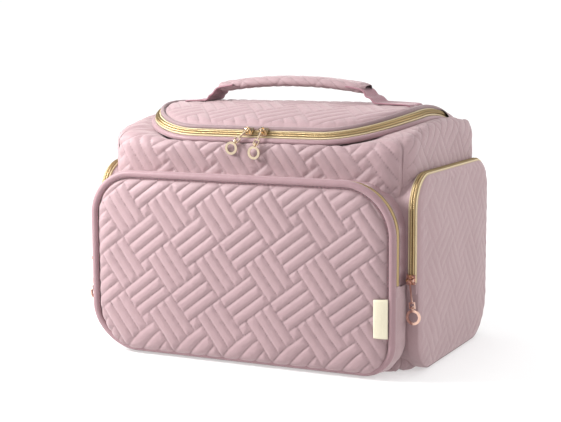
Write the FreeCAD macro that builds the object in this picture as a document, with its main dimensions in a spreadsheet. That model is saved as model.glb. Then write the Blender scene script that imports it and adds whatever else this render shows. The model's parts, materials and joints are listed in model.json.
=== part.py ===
import FreeCAD, Part
import math
import os

import Sketcher

# Soft makeup train case, in millimetres. X is the width, the front faces -Y and Z is up.
# Everything is built around the middle of the case body, and then moved back by body_shift, so that the
# front pocket and the back wall reach equally far from the origin.

Vector = FreeCAD.Vector
Rotation = FreeCAD.Rotation
Placement = FreeCAD.Placement

os.makedirs("parts", exist_ok=True)
doc = FreeCAD.newDocument("train_case")

SIZES = {
    # case body
    "body_shift": 12.65,
    "body_half_width": 150.0,
    "body_half_depth": 97.5,
    "body_corner": 26.0,
    "body_top_round": 10.0,
    "body_base_round": 8.0,
    "wall": 4.0,
    "lining": 1.2,
    "panel_seam": 143.0,
    "panel_depth_seam": 60.0,
    "base_height": 12.0,
    "board": 2.0,
    "board_margin": 12.5,
    # vaulted top: a cylinder along X
    "vault_radius": 220.0,
    "vault_mid_height": 221.5,
    "vault_body_drop": 5.0,
    "lid_rise": 6.0,
    "lid_under": 0.5,
    # lid outline
    "lid_half_width": 132.0,
    "lid_front": 86.0,
    "lid_back": 86.0,
    "lid_front_corner": 72.0,
    "lid_back_corner": 14.0,
    "lid_edge": 4.2,
    "lid_back_edge": 83.0,
    "lid_zip_end": 70.0,
    "opening_grow": 1.5,
    "hinge_depth": 86.5,
    "hinge_height": 206.5,
    "hinge_cord": 2.5,
    "hinge_half_length": 117.0,
    "mesh_half_width": 92.0,
    "mesh_half_depth": 50.0,
    "mesh_thick": 0.8,
    # zip section
    "zip_tilt": 50.0,
    "zip_gap": 0.2,
    "zip_tape_width": 6.0,
    "zip_tape_thick": 1.0,
    "zip_teeth_width": 2.4,
    "zip_teeth_thick": 3.2,
    "welt_radius": 2.6,
    "welt_offset": 7.6,
    # handle
    "webbing_width": 25.0,
    "webbing": 1.6,
    "grip_left": -79.0,
    "grip_right": 75.0,
    "grip_mid_top": 253.5,
    "grip_end_top": 247.0,
    "grip_thick": 9.0,
    "grip_width": 24.0,
    "swing_height": 232.3,
    "riser_neck": 2.6,
    "foot_left_low": -112.0,
    "foot_left_high": -70.0,
    "foot_right_low": 66.0,
    "foot_right_high": 121.0,
    # front pocket
    "front_half_width": 150.0,
    "front_top": 169.5,
    "front_low": 2.0,
    "front_top_corner": 47.0,
    "front_low_corner": 36.0,
    "front_zip_inner": 110.0,
    "front_zip_split": 115.0,
    "front_zip_outer": 120.0,
    "front_panel_back": 121.0,
    "front_pad_back": 122.4,
    "front_panel_face": 129.0,
    "piping_radius": 2.4,
    "piping_gap": 0.1,
    "gusset": 2.0,
    "flap_split": 79.0,
    "flap_gap": 0.6,
    "fold_cord": 1.0,
    "fold_stand": 0.3,
    "fold_clear": 0.2,
    # side pockets
    "side_front": 97.0,
    "side_back": 96.0,
    "side_top": 172.6,
    "side_low": 2.0,
    "side_top_corner": 19.0,
    "side_low_corner": 28.0,
    "side_root": 132.0,
    "side_zip_inner": 151.0,
    "side_zip_split": 155.5,
    "side_zip_outer": 160.0,
    "side_panel_face": 164.0,
    # dividers and tag
    "divider_place": 48.0,
    "divider_thick": 5.0,
    "divider_half_depth": 90.5,
    "divider_low": 8.0,
    "divider_top": 150.0,
    "divider_corner": 20.0,
    "tag_left": 133.6,
    "tag_width": 11.8,
    "tag_low": 38.0,
    "tag_height": 34.0,
    "tag_thick": 1.5,
    # zip sliders and their pulls
    "lid_slider_left": -5.0,
    "lid_slider_right": 10.0,
    "lid_pull_lean_left": -35.0,
    "lid_pull_lean_right": -12.0,
    "side_pull_lean": 6.5,
    "pull_slope": 30.0,
    "slider_park": 6.0,
    "slider_length": 8.4,
    "slider_width": 8.0,
    "slider_plate": 1.4,
    "slider_clear": 0.3,
    "slider_flange": 1.2,
    "slider_flange_drop": 2.2,
    "bail_height": 4.2,
    "bail_bar": 0.7,
    "bail_half_gap": 2.6,
    "bail_leg": 0.7,
    "pull_eye": 2.5,
    "pull_hole": 1.5,
    "pull_thick": 1.2,
    "pull_length": 15.5,
    "pull_long": 24.0,
    "pull_bar": 0.6,
    "pull_arm": 4.0,
    "ring_outer": 6.0,
    "ring_large": 6.6,
    "ring_band": 2.2,
    "ring_thick": 1.2,
    "ring_lug": 1.9,
    "ring_hole": 1.1,
}

sheet = doc.addObject("Spreadsheet::Sheet", "Sizes")
for row, (alias, value) in enumerate(SIZES.items(), start=1):
    sheet.set(f"A{row}", alias)
    sheet.set(f"B{row}", repr(value))
    sheet.setAlias(f"B{row}", alias)
doc.recompute()

NODES = []


def size(alias):
    """The sheet's value under an alias."""
    return float(getattr(sheet, alias))


def cell(expression):
    """An expression in which every sheet alias is written in full."""
    words = sorted(SIZES, key=len, reverse=True)
    result = ""
    position = 0
    while position < len(expression):
        alias = next((w for w in words if expression.startswith(w, position)), None)
        if alias:
            result += f"Sizes.{alias}"
            position += len(alias)
        else:
            result += expression[position]
            position += 1
    return result


def bind(item, **properties):
    """Binds an object's properties to expressions of the sheet's aliases."""
    for name, expression in properties.items():
        item.setExpression(name.replace("__", "."), cell(expression))
    return item


def place(item, base=Vector(), rotation=Rotation()):
    """Places a finished sub-part, moved back by body_shift."""
    item.Placement = Placement(base + Vector(0, size("body_shift"), 0), rotation)
    return item


def node(item, label):
    """Names a finished sub-part and lists it for export."""
    item.Label = label
    NODES.append(item)
    return item


def feature(label, shape):
    """A sub-part whose shape comes from Part's own functions."""
    item = doc.addObject("Part::Feature", label)
    item.Shape = shape
    place(item)
    return node(item, label)


def scratch(name, shape):
    """A helper shape in the document, for the booleans."""
    item = doc.addObject("Part::Feature", name)
    item.Shape = shape
    return item


def combine(kind, name, base, tool):
    """A boolean of two objects: Part::Cut, Part::Common or Part::Fuse."""
    item = doc.addObject(kind, name)
    item.Base = base
    item.Tool = tool
    return item


def box(name, low, high):
    """A box between two corners, each given as three expressions."""
    item = doc.addObject("Part::Box", name)
    for axis, length, first, last in zip("xyz", ("Length", "Width", "Height"), low, high):
        item.setExpression(f"Placement.Base.{axis}", cell(first))
        item.setExpression(length, cell(f"({last}) - ({first})"))
    return item


def vault(name, radius):
    """The cylinder along X that the top of the case follows."""
    item = doc.addObject("Part::Cylinder", name)
    bind(item, Radius=radius, Height="4 * body_half_width")
    bind(item, Placement__Base__x="-2 * body_half_width")
    bind(item, Placement__Base__z="vault_mid_height - vault_radius")
    item.Placement.Rotation = Rotation(Vector(0, 1, 0), 90)
    return item


PLAN = Rotation()
FRONTAL = Rotation(Vector(1, 0, 0), 90)
LATERAL = Rotation(Vector(1, 1, 1), 120)


def outline(name, rotation, left, right, low, high, low_corner, high_corner):
    """A sketch of a rectangle with rounded corners; left and low are distances below zero."""
    sketch = doc.addObject("Sketcher::SketchObject", name)
    sketch.Placement = Placement(Vector(), rotation)
    expressions = (left, right, low, high, low_corner, high_corner)
    values = [float(sketch.evalExpression(cell(expression))) for expression in expressions]
    x0, x1, y0, y1, r0, r1 = -values[0], values[1], -values[2], values[3], values[4], values[5]
    quarter = math.pi / 2
    corners = [
        (x1 - r0, y0 + r0, r0, 3 * quarter),
        (x1 - r1, y1 - r1, r1, 0.0),
        (x0 + r1, y1 - r1, r1, quarter),
        (x0 + r0, y0 + r0, r0, 2 * quarter),
    ]
    ends = [
        ((x0 + r0, y0), (x1 - r0, y0)),
        ((x1, y0 + r0), (x1, y1 - r1)),
        ((x1 - r1, y1), (x0 + r1, y1)),
        ((x0, y1 - r1), (x0, y0 + r0)),
    ]
    for (start, stop), (centre_x, centre_y, radius, turn) in zip(ends, corners):
        sketch.addGeometry(Part.LineSegment(Vector(*start, 0), Vector(*stop, 0)), False)
        circle = Part.Circle(Vector(centre_x, centre_y, 0), Vector(0, 0, 1), radius)
        sketch.addGeometry(Part.ArcOfCircle(circle, turn, turn + quarter), False)
    rules = []
    for side in range(4):
        line = 2 * side
        arc = line + 1
        rules.append(Sketcher.Constraint("Tangent", line, 2, arc, 1))
        rules.append(Sketcher.Constraint("Tangent", arc, 2, (line + 2) % 8, 1))
        rules.append(Sketcher.Constraint("Vertical" if side % 2 else "Horizontal", line))
    sketch.addConstraint(rules)
    dimensions = [
        ("DistanceX", (6, 1, -1, 1), -x0, left),
        ("DistanceX", (-1, 1, 2, 1), x1, right),
        ("DistanceY", (0, 1, -1, 1), -y0, low),
        ("DistanceY", (-1, 1, 4, 1), y1, high),
        ("Radius", (1,), r0, low_corner),
        ("Radius", (7,), r0, low_corner),
        ("Radius", (3,), r1, high_corner),
        ("Radius", (5,), r1, high_corner),
    ]
    for kind, where, value, expression in dimensions:
        index = sketch.addConstraint(Sketcher.Constraint(kind, *where, value))
        sketch.setExpression(f"Constraints[{index}]", cell(expression))
    return sketch


def prism(name, sketch, start, length, axis):
    """The solid that a sketch sweeps along its normal, from a start along a frame axis."""
    item = doc.addObject("Part::Extrusion", name)
    item.Base = sketch
    item.DirMode = "Normal"
    item.Solid = True
    bind(item, LengthFwd=length)
    item.setExpression(f"Placement.Base.{axis}", cell(start))
    return item


def lid_prism(name, grow, back="lid_back"):
    """The upright prism on the lid's outline, grown outwards."""
    sketch = outline(
        name + "_plan",
        PLAN,
        f"lid_half_width + {grow}",
        f"lid_half_width + {grow}",
        f"lid_front + {grow}",
        back if back != "lid_back" else f"lid_back + {grow}",
        f"lid_front_corner + {grow}",
        f"lid_back_corner + {grow}",
    )
    return prism(name, sketch, "0.5 * vault_mid_height", "vault_mid_height", "z")


# ---------------------------------------------------------------- case body


def body_solid(inset):
    """The case body's outer shape, moved inwards by an inset."""
    half_width = size("body_half_width") - inset
    half_depth = size("body_half_depth") - inset
    height = size("vault_mid_height")
    block = Part.makeBox(2 * half_width, 2 * half_depth, height, Vector(-half_width, -half_depth, inset))
    upright = [e for e in block.Edges if abs(e.tangentAt(e.FirstParameter).z) > 0.9]
    block = block.makeFillet(size("body_corner") - inset, upright)
    radius = size("vault_radius") - size("vault_body_drop") - inset
    centre = size("vault_mid_height") - size("vault_radius")
    roof = Part.makeCylinder(radius, 3 * half_width, Vector(-1.5 * half_width, 0, centre), Vector(1, 0, 0))
    block = block.common(roof)
    base_edges = [e for e in block.Edges if e.BoundBox.ZMax < inset + 1]
    block = block.makeFillet(size("body_base_round") - inset, base_edges)
    top_edges = [e for e in block.Edges if e.BoundBox.ZMin > height / 2]
    return block.makeFillet(size("body_top_round") - inset, top_edges)


ENVELOPE = body_solid(0.0)
envelope = scratch("envelope", ENVELOPE)
inner = scratch("inner", body_solid(size("wall")))
lined = scratch("lined", body_solid(size("wall") + size("lining")))
opening = lid_prism("opening", "opening_grow")
shell = combine("Part::Cut", "shell", combine("Part::Cut", "hollow", envelope, inner), opening)
FAR = "2 * body_half_width"


def wall_panel(label, low, high):
    """The stretch of the body's shell inside a box."""
    region = box(label + "_region", low, high)
    return node(place(combine("Part::Common", label, shell, region)), label)


def body_panels():
    """Base, front, back and side panels, which meet at their seams."""
    wall_panel("base_panel", (f"-{FAR}", f"-{FAR}", "-1"), (FAR, FAR, "base_height"))
    wall_panel(
        "front_wall",
        ("-panel_seam", f"-{FAR}", "base_height"),
        ("panel_seam", "-panel_depth_seam", FAR),
    )
    wall_panel(
        "back_wall",
        ("-panel_seam", "panel_depth_seam", "base_height"),
        ("panel_seam", FAR, FAR),
    )
    for side, sign in (("left", -1), ("right", 1)):
        name = f"side_wall_{side}"
        low, high = ("0", FAR) if sign > 0 else (f"-{FAR}", "0")
        half = box(name + "_half", (low, f"-{FAR}", "base_height"), (high, FAR, FAR))
        front = box(
            name + "_front", ("-panel_seam", f"-{FAR}", "0"), ("panel_seam", "-panel_depth_seam", FAR)
        )
        back = box(name + "_back", ("-panel_seam", "panel_depth_seam", "0"), ("panel_seam", FAR, FAR))
        piece = combine("Part::Common", name + "_whole", shell, half)
        piece = combine("Part::Cut", name + "_less", piece, front)
        node(place(combine("Part::Cut", name, piece, back)), name)


def body_inside():
    """Lining, stiffening board and the two dividers."""
    skin = combine("Part::Cut", "lining_skin", inner, lined)
    node(place(combine("Part::Cut", "main_lining", skin, opening)), "main_lining")
    floor = "wall + lining"
    board = box(
        "base_stiffener",
        ("-body_half_width + board_margin", "-body_half_depth + board_margin + body_shift", floor),
        ("body_half_width - board_margin", "body_half_depth - board_margin + body_shift", f"{floor} + board"),
    )
    node(board, "base_stiffener")
    for side, sign in (("left", "-"), ("right", "")):
        name = f"divider_{side}"
        sketch = outline(
            name + "_face",
            LATERAL,
            "divider_half_depth",
            "divider_half_depth",
            "-divider_low",
            "divider_top",
            "body_base_round",
            "divider_corner",
        )
        piece = prism(name, sketch, f"{sign}divider_place - divider_thick / 2", "divider_thick", "x")
        bind(piece, Placement__Base__y="body_shift")
        node(piece, name)


# ---------------------------------------------------------------- lid and its zip


def vault_height(depth):
    """The zip line's height at a distance from the middle, front to back."""
    radius = size("vault_radius")
    return size("vault_mid_height") - radius + math.sqrt(radius * radius - depth * depth)


def zip_line():
    """The lid zip's centre line: the lid's outline on the vault, from end to end round the front."""
    half_width = size("lid_half_width")
    front = -size("lid_front")
    corner = size("lid_front_corner")
    end = size("lid_zip_end")
    side_low = Vector(half_width, front + corner, vault_height(front + corner))
    middle = (front + corner + end) / 2

    def side(sign):
        points = [(sign * half_width, y, vault_height(y)) for y in (end, middle, front + corner)]
        return Part.Arc(*[Vector(*p) for p in points]).toShape()

    def bend(sign):
        points = []
        steps = 12
        for step in range(steps + 1):
            angle = math.pi / 2 * step / steps
            x = half_width - corner + corner * math.cos(angle)
            y = front + corner - corner * math.sin(angle)
            points.append(Vector(sign * x, y, vault_height(y)))
        slope = (front + corner) / (side_low.z - size("vault_mid_height") + size("vault_radius"))
        start = Vector(0, -1, slope).normalize()
        curve = Part.BSplineCurve()
        curve.interpolate(points, InitialTangent=start, FinalTangent=Vector(-sign, 0, 0))
        return curve.toShape()

    height = vault_height(front)
    straight = half_width - corner
    line = Part.LineSegment(Vector(straight, front, height), Vector(-straight, front, height)).toShape()
    return Part.Wire(Part.__sortEdges__([side(1), bend(1), line, bend(-1), side(-1)]))


def zip_sweep(section):
    """Sweeps a closed section round the lid; its points are (along the tape outwards, off the tape)."""
    tilt = math.radians(size("zip_tilt"))
    start = Vector(size("lid_half_width"), size("lid_zip_end"), vault_height(size("lid_zip_end")))
    points = []
    for along, off in section:
        outward = along * math.cos(tilt) + off * math.sin(tilt)
        upward = off * math.cos(tilt) - along * math.sin(tilt)
        points.append(start + Vector(outward, 0, upward))
    profile = Part.makePolygon(points + points[:1])
    sweep = Part.BRepOffsetAPI.MakePipeShell(zip_line())
    sweep.setBiNormalMode(Vector(0, 0, 1))
    sweep.add(profile, False, False)
    sweep.build()
    sweep.makeSolid()
    return sweep.shape()


def strip(first, last, low, high):
    """A rectangle's corners in the zip's section."""
    return [(first, low), (last, low), (last, high), (first, high)]


def lid_zip():
    """Tapes and teeth of the lid's zip, each in a body half and a lid half, and the welt below it."""
    gap = size("zip_gap")
    tape = size("zip_tape_width")
    thin = size("zip_tape_thick")
    teeth = size("zip_teeth_width")
    thick = size("zip_teeth_thick")
    welt = size("welt_radius")
    place_of_welt = size("welt_offset")
    lower_tape = zip_sweep(strip(gap, tape, 0, thin)).cut(ENVELOPE)
    feature("lid_zip_lower_tape", lower_tape)
    feature("lid_zip_lower_teeth", zip_sweep(strip(gap, teeth, thin, thick)))
    feature("lid_zip_upper_tape", zip_sweep(strip(-tape, -gap, 0, thin)))
    feature("lid_zip_upper_teeth", zip_sweep(strip(-teeth, -gap, thin, thick)))
    rim = []
    for step in range(8):
        angle = math.pi / 4 * (step + 0.5)
        rim.append((place_of_welt + welt * math.cos(angle), welt * math.sin(angle)))
    feature("lid_zip_welt", zip_sweep(rim).cut(ENVELOPE).cut(lower_tape))


def lid_pieces():
    """The padded lid panel, its lining and the mesh pocket under it."""
    top = vault("lid_top", "vault_radius + lid_rise")
    under = vault("lid_underside", "vault_radius + lid_under")
    lining_under = vault("lid_lining_underside", "vault_radius + lid_under - lining")
    mesh_under = vault("lid_mesh_underside", "vault_radius + lid_under - lining - mesh_thick")
    plate = lid_prism("lid_plate", "-lid_edge", "lid_back_edge")
    crust = combine("Part::Cut", "lid_crust", top, under)
    node(place(combine("Part::Common", "lid_panel", crust, plate)), "lid_panel")
    lining_plate = lid_prism("lid_lining_plate", "-lid_edge - lining", "lid_back_edge - lining")
    lining_crust = combine("Part::Cut", "lid_lining_crust", under, lining_under)
    node(place(combine("Part::Common", "lid_lining", lining_crust, lining_plate)), "lid_lining")
    window = box(
        "mesh_window",
        ("-mesh_half_width", "-mesh_half_depth", "0.5 * vault_mid_height"),
        ("mesh_half_width", "mesh_half_depth", FAR),
    )
    mesh_crust = combine("Part::Cut", "lid_mesh_crust", lining_under, mesh_under)
    node(place(combine("Part::Common", "lid_mesh_pocket", mesh_crust, window)), "lid_mesh_pocket")


def hinge_binding():
    """The bound cord that the lid turns on, with its web down to the back panel."""
    cord = doc.addObject("Part::Cylinder", "hinge_cord_rod")
    bind(cord, Radius="hinge_cord", Height="2 * hinge_half_length")
    bind(cord, Placement__Base__x="-hinge_half_length")
    bind(cord, Placement__Base__y="hinge_depth", Placement__Base__z="hinge_height")
    cord.Placement.Rotation = Rotation(Vector(0, 1, 0), 90)
    web = box(
        "hinge_web",
        ("-hinge_half_length", "hinge_depth - opening_grow / 3", "hinge_height - 4 * hinge_cord"),
        ("hinge_half_length", "hinge_depth + hinge_cord", "hinge_height"),
    )
    whole = combine("Part::Fuse", "hinge_whole", cord, web)
    node(place(combine("Part::Cut", "hinge_binding", whole, envelope)), "hinge_binding")


# ---------------------------------------------------------------- handle


def handle_feet():
    """The webbing's two ends, sewn flat on the lid."""
    under = vault("foot_under", "vault_radius + lid_rise")
    over = vault("foot_over", "vault_radius + lid_rise + webbing")
    crust = combine("Part::Cut", "foot_crust", over, under)
    for side in ("left", "right"):
        name = f"handle_foot_{side}"
        region = box(
            name + "_region",
            (f"foot_{side}_low", "-webbing_width / 2", "0.5 * vault_mid_height"),
            (f"foot_{side}_high", "webbing_width / 2", FAR),
        )
        node(place(combine("Part::Common", name, crust, region)), name)


def handle_riser(side, start, grip):
    """The stretch of webbing from the lid up to the grip, narrowed to a round neck at its fold."""
    height = size("swing_height")
    neck = size("riser_neck")
    half = size("webbing_width") / 2
    top = size("grip_end_top") - size("grip_thick") + 1
    lean = math.radians(45)
    points = [
        Vector(start, neck * math.cos(lean), height - neck * math.sin(lean)),
        Vector(start, half, top),
        Vector(start, -half, top),
        Vector(start, -neck * math.cos(lean), height - neck * math.sin(lean)),
    ]
    edges = [Part.LineSegment(a, b).toShape() for a, b in zip(points, points[1:])]
    edges.append(Part.Arc(points[-1], Vector(start, 0, height - neck), points[0]).toShape())
    face = Part.Face(Part.Wire(edges))
    feature(f"handle_riser_{side}", face.extrude(Vector(size("webbing"), 0, 0)).cut(grip))


def handle_grip():
    """The padded grip, a flattened bar with a slight upward bow."""
    left = size("grip_left")
    right = size("grip_right")
    middle = (left + right) / 2
    thick = size("grip_thick")
    width = size("grip_width")
    end = size("grip_end_top")
    crest = size("grip_mid_top")

    def arc(drop):
        points = (Vector(left, 0, end - drop), Vector(middle, 0, crest - drop), Vector(right, 0, end - drop))
        return Part.Arc(*points).toShape()

    def end_line(x):
        return Part.LineSegment(Vector(x, 0, end), Vector(x, 0, end - thick)).toShape()

    wire = Part.Wire(Part.__sortEdges__([arc(0.0), end_line(right), arc(thick), end_line(left)]))
    bar = Part.Face(wire).extrude(Vector(0, width, 0))
    bar.translate(Vector(0, -width / 2, 0))
    long_edges = [e for e in bar.Edges if e.BoundBox.XLength > width]
    return bar.makeFillet(0.42 * thick, long_edges)


def handle():
    """Grip and risers, in one moving piece with the fold line as its axis."""
    handle_feet()
    grip = handle_grip()
    feature("handle_grip", grip)
    riser_gap = 1.0
    for side, start in (
        ("left", size("grip_left") + riser_gap),
        ("right", size("grip_right") - riser_gap - size("webbing")),
    ):
        handle_riser(side, start, grip)


# ---------------------------------------------------------------- pockets


def front_prism(name, grow, first, last):
    """A stretch of the front pocket's outline prism, between two distances in front of the middle."""
    sketch = outline(
        name + "_face",
        FRONTAL,
        f"front_half_width + {grow}",
        f"front_half_width + {grow}",
        f"-front_low + {grow}",
        f"front_top + {grow}",
        f"front_low_corner + {grow}",
        f"front_top_corner + {grow}",
    )
    return prism(name, sketch, f"-({first})", f"({last}) - ({first})", "y")


def side_prism(name, sign, grow, first, last):
    """A stretch of a side pocket's outline prism, between two distances from the middle."""
    sketch = outline(
        name + "_face",
        LATERAL,
        f"side_front + {grow}",
        f"side_back + {grow}",
        f"-side_low + {grow}",
        f"side_top + {grow}",
        f"side_low_corner + {grow}",
        f"side_top_corner + {grow}",
    )
    start = first if sign > 0 else f"-({last})"
    return prism(name, sketch, start, f"({last}) - ({first})", "x")


def above(name, piece):
    """The part of a piece above the flap's fold."""
    region = box(name + "_above", (f"-{FAR}", f"-{FAR}", "flap_split + flap_gap"), (FAR, FAR, FAR))
    return combine("Part::Common", name, piece, region)


def below(name, piece):
    """The part of a piece below the flap's fold."""
    region = box(name + "_below", (f"-{FAR}", f"-{FAR}", "-1"), (FAR, FAR, "flap_split - flap_gap"))
    return combine("Part::Common", name, piece, region)


def ring(name, maker, outer, inner_grow, first, last):
    """A band between two outlines, over a stretch of depth."""
    big = maker(name + "_big", outer, first, last)
    small = maker(name + "_small", inner_grow, first, last)
    return combine("Part::Cut", name, big, small)


def front_rod(name, radius, half_length):
    """A rod along the front flap's fold line, just outside the pocket's face."""
    item = doc.addObject("Part::Cylinder", name)
    bind(item, Radius=radius, Height=f"2 * ({half_length})", Placement__Base__z="flap_split")
    bind(item, Placement__Base__x=f"-({half_length})", Placement__Base__y="-front_panel_face - fold_stand")
    item.Placement.Rotation = Rotation(Vector(0, 1, 0), 90)
    return item


def side_rod(name, sign, radius, half_length):
    """A rod along a side flap's fold line, just outside the pocket's face."""
    item = doc.addObject("Part::Cylinder", name)
    bind(item, Radius=radius, Height=f"2 * ({half_length})", Placement__Base__z="flap_split")
    bind(item, Placement__Base__y=f"-({half_length})", Placement__Base__x=f"{sign} * (side_panel_face + fold_stand)")
    item.Placement.Rotation = Rotation(Vector(1, 0, 0), -90)
    return item


def folded_pair(pouch_label, flap_label, pouch, flap, maker, half_length):
    """A pouch with the rolled fold along its top edge, and the flap that turns about that roll."""
    roll = maker(pouch_label + "_roll", "fold_cord", half_length)
    room = maker(flap_label + "_room", "fold_cord + fold_clear", half_length + " + fold_cord")
    node(place(combine("Part::Fuse", pouch_label, pouch, roll)), pouch_label)
    node(place(combine("Part::Cut", flap_label, flap, room)), flap_label)


def piping_path(upper):
    """The front pocket's piping line, above or below the fold."""
    half = size("front_half_width")
    split = size("flap_split")
    gap = size("flap_gap")
    if upper:
        start, edge, corner, turn = split + gap, size("front_top"), size("front_top_corner"), 1
    else:
        start, edge, corner, turn = split - gap, size("front_low"), size("front_low_corner"), -1
    edge -= turn * size("piping_radius")
    corner -= size("piping_radius")
    half -= size("piping_radius")
    depth = -(size("front_pad_back") + size("piping_radius") + size("piping_gap"))

    def point(x, z):
        return Vector(x, depth, z)

    bend = corner * (1 - math.cos(math.pi / 4))
    edges = [Part.LineSegment(point(half, start), point(half, edge - turn * corner))]
    edges.append(
        Part.Arc(
            point(half, edge - turn * corner), point(half - bend, edge - turn * bend), point(half - corner, edge)
        )
    )
    edges.append(Part.LineSegment(point(half - corner, edge), point(corner - half, edge)))
    edges.append(
        Part.Arc(
            point(corner - half, edge), point(bend - half, edge - turn * bend), point(-half, edge - turn * corner)
        )
    )
    edges.append(Part.LineSegment(point(-half, edge - turn * corner), point(-half, start)))
    return Part.Wire([e.toShape() for e in edges])


def piping(label, upper):
    """A round cord swept along the piping line."""
    path = piping_path(upper)
    start = path.Edges[0].valueAt(path.Edges[0].FirstParameter)
    section = Part.Wire(Part.makeCircle(size("piping_radius"), start, Vector(0, 0, 1)))
    feature(label, path.makePipeShell([section], True, False))


def front_pocket():
    """The front pocket: fixed gusset and lower pouch, and an upper flap between the two zip halves."""
    padding = "-2 * piping_radius - piping_gap"
    attach = "body_half_depth + 0.1"
    gusset_ring = ring("front_pocket_gusset", front_prism, "0", "-gusset", attach, "front_zip_inner")
    node(place(gusset_ring), "front_pocket_gusset")
    band = ring("pouch_band", front_prism, "0", "-gusset", "front_zip_inner", "front_panel_back")

    def front_face(name):
        backing = front_prism(name + "_backing", "0", "front_panel_back", "front_pad_back")
        pad = front_prism(name + "_pad", padding, "front_pad_back", "front_panel_face")
        return combine("Part::Fuse", name, backing, pad)

    pouch = below("pouch_low", combine("Part::Fuse", "pouch_whole", band, front_face("pouch_face")))
    flap = above("flap_high", front_face("flap_face"))
    reach = "front_half_width - 3 * piping_radius"
    folded_pair("front_pocket_pouch", "front_flap_panel", pouch, flap, front_rod, reach)
    piping("front_piping_lower", False)
    piping("front_piping_upper", True)
    halves = (
        ("inner", "front_zip_inner", "front_zip_split - zip_gap"),
        ("outer", "front_zip_split + zip_gap", "front_panel_back"),
    )
    for half, first, last in halves:
        name = f"front_zip_{half}_tape"
        tape = ring(name + "_band", front_prism, "0", "-zip_tape_thick", first, last)
        node(place(above(name, tape)), name)
        name = f"front_zip_{half}_teeth"
        inner_side = "front_zip_split - zip_teeth_width"
        outer_side = "front_zip_split + zip_teeth_width"
        near, far = (inner_side, last) if half == "inner" else (first, outer_side)
        teeth = ring(name + "_band", front_prism, "zip_teeth_thick - zip_tape_thick", "0", near, far)
        node(place(above(name, teeth)), name)
    tag = box(
        "blank_tag",
        ("tag_left", "-front_panel_face - tag_thick + body_shift", "tag_low"),
        ("tag_left + tag_width", "-front_panel_face + body_shift", "tag_low + tag_height"),
    )
    node(tag, "blank_tag")


def side_pocket(side, sign):
    """A side pocket: fixed gusset and lower pouch, and an upper flap between the two zip halves."""

    def maker(name, grow, first, last):
        return side_prism(name, sign, grow, first, last)

    inside = "-gusset"
    name = f"side_gusset_{side}"
    band = ring(name + "_band", maker, "0", inside, "side_root", "side_zip_inner")
    node(place(combine("Part::Cut", name, band, envelope)), name)
    name = f"side_pouch_{side}"
    band = ring(name + "_band", maker, "0", inside, "side_zip_inner", "side_zip_outer")
    face = maker(name + "_face", "0", "side_zip_outer", "side_panel_face")
    pouch = below(name + "_low", combine("Part::Fuse", name + "_whole", band, face))
    flap = above(f"side_flap_{side}_high", maker(f"side_flap_{side}_face", "0", "side_zip_outer", "side_panel_face"))

    def rod_maker(rod_name, radius, half_length):
        return side_rod(rod_name, sign, radius, half_length)

    folded_pair(name, f"side_flap_{side}", pouch, flap, rod_maker, "side_back - 2 * fold_cord")
    teeth_grow = "zip_teeth_thick - zip_tape_thick"
    halves = (
        ("inner", "side_zip_inner", "side_zip_split - zip_gap"),
        ("outer", "side_zip_split + zip_gap", "side_zip_outer"),
    )
    for half, first, last in halves:
        name = f"side_zip_{half}_{side}"
        tape = ring(name + "_tape", maker, "0", "-zip_tape_thick", first, last)
        near = "side_zip_split - zip_teeth_width" if half == "inner" else first
        far = last if half == "inner" else "side_zip_split + zip_teeth_width"
        teeth = ring(name + "_teeth", maker, teeth_grow, "0", near, far)
        node(place(above(name, combine("Part::Fuse", name + "_whole", tape, teeth))), name)


# ---------------------------------------------------------------- zip sliders and pulls


def local_box(u_low, u_high, v_low, v_high, w_low, w_high):
    """A box in a slider's own axes: u along the bail's bar, v across, w off the tape."""
    return Part.makeBox(u_high - u_low, v_high - v_low, w_high - w_low, Vector(u_low, v_low, w_low))


def rod(radius, half_length, v, w):
    """A round bar along u."""
    return Part.makeCylinder(radius, 2 * half_length, Vector(-half_length, v, w), Vector(1, 0, 0))


def slider_shape(bar_across):
    """Plate over the teeth, one flange on the side that the slider rides on, and the bail."""
    length = size("slider_length") / 2
    width = size("slider_width") / 2
    plate = size("slider_plate")
    flange = size("slider_flange")
    inner_gap = size("bail_half_gap")
    leg = size("bail_leg")
    bar = size("bail_bar")
    bar_height = size("bail_height")
    bail = rod(bar, inner_gap + leg / 2, 0, bar_height)
    for low in (-inner_gap - leg, inner_gap):
        bail = bail.fuse(local_box(low, low + leg, -1.2, 1.2, plate, bar_height + bar))
    if bar_across:
        bail.rotate(Vector(), Vector(0, 0, 1), 90)
    solid = local_box(-length, length, -width, width, 0, plate)
    solid = solid.fuse(local_box(-length, length, width - flange, width, -size("slider_flange_drop"), 0))
    return solid.fuse(bail).removeSplitter()


def link_shape(length):
    """The pull's link: an eye round the bail's bar, a shank, and a fork with a cross bar."""
    half = size("pull_thick") / 2
    bar = size("pull_bar")
    arm = size("pull_arm")
    fork = size("bail_half_gap") - bar
    wide = fork + size("bail_leg")
    solid = rod(size("pull_eye"), half, 0, 0)
    solid = solid.fuse(local_box(-half, half, arm - length, -size("pull_hole"), -half, half))
    solid = solid.cut(rod(size("pull_hole"), 2 * half, 0, 0))
    solid = solid.fuse(local_box(-wide, wide, arm - length, arm - length + 2 * half, -half, half))
    for low in (-wide, fork):
        solid = solid.fuse(local_box(low, low + size("bail_leg"), -length - bar, arm - length, -half, half))
    return solid.fuse(rod(bar, fork + bar / 2, -length, 0)).removeSplitter()


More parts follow.
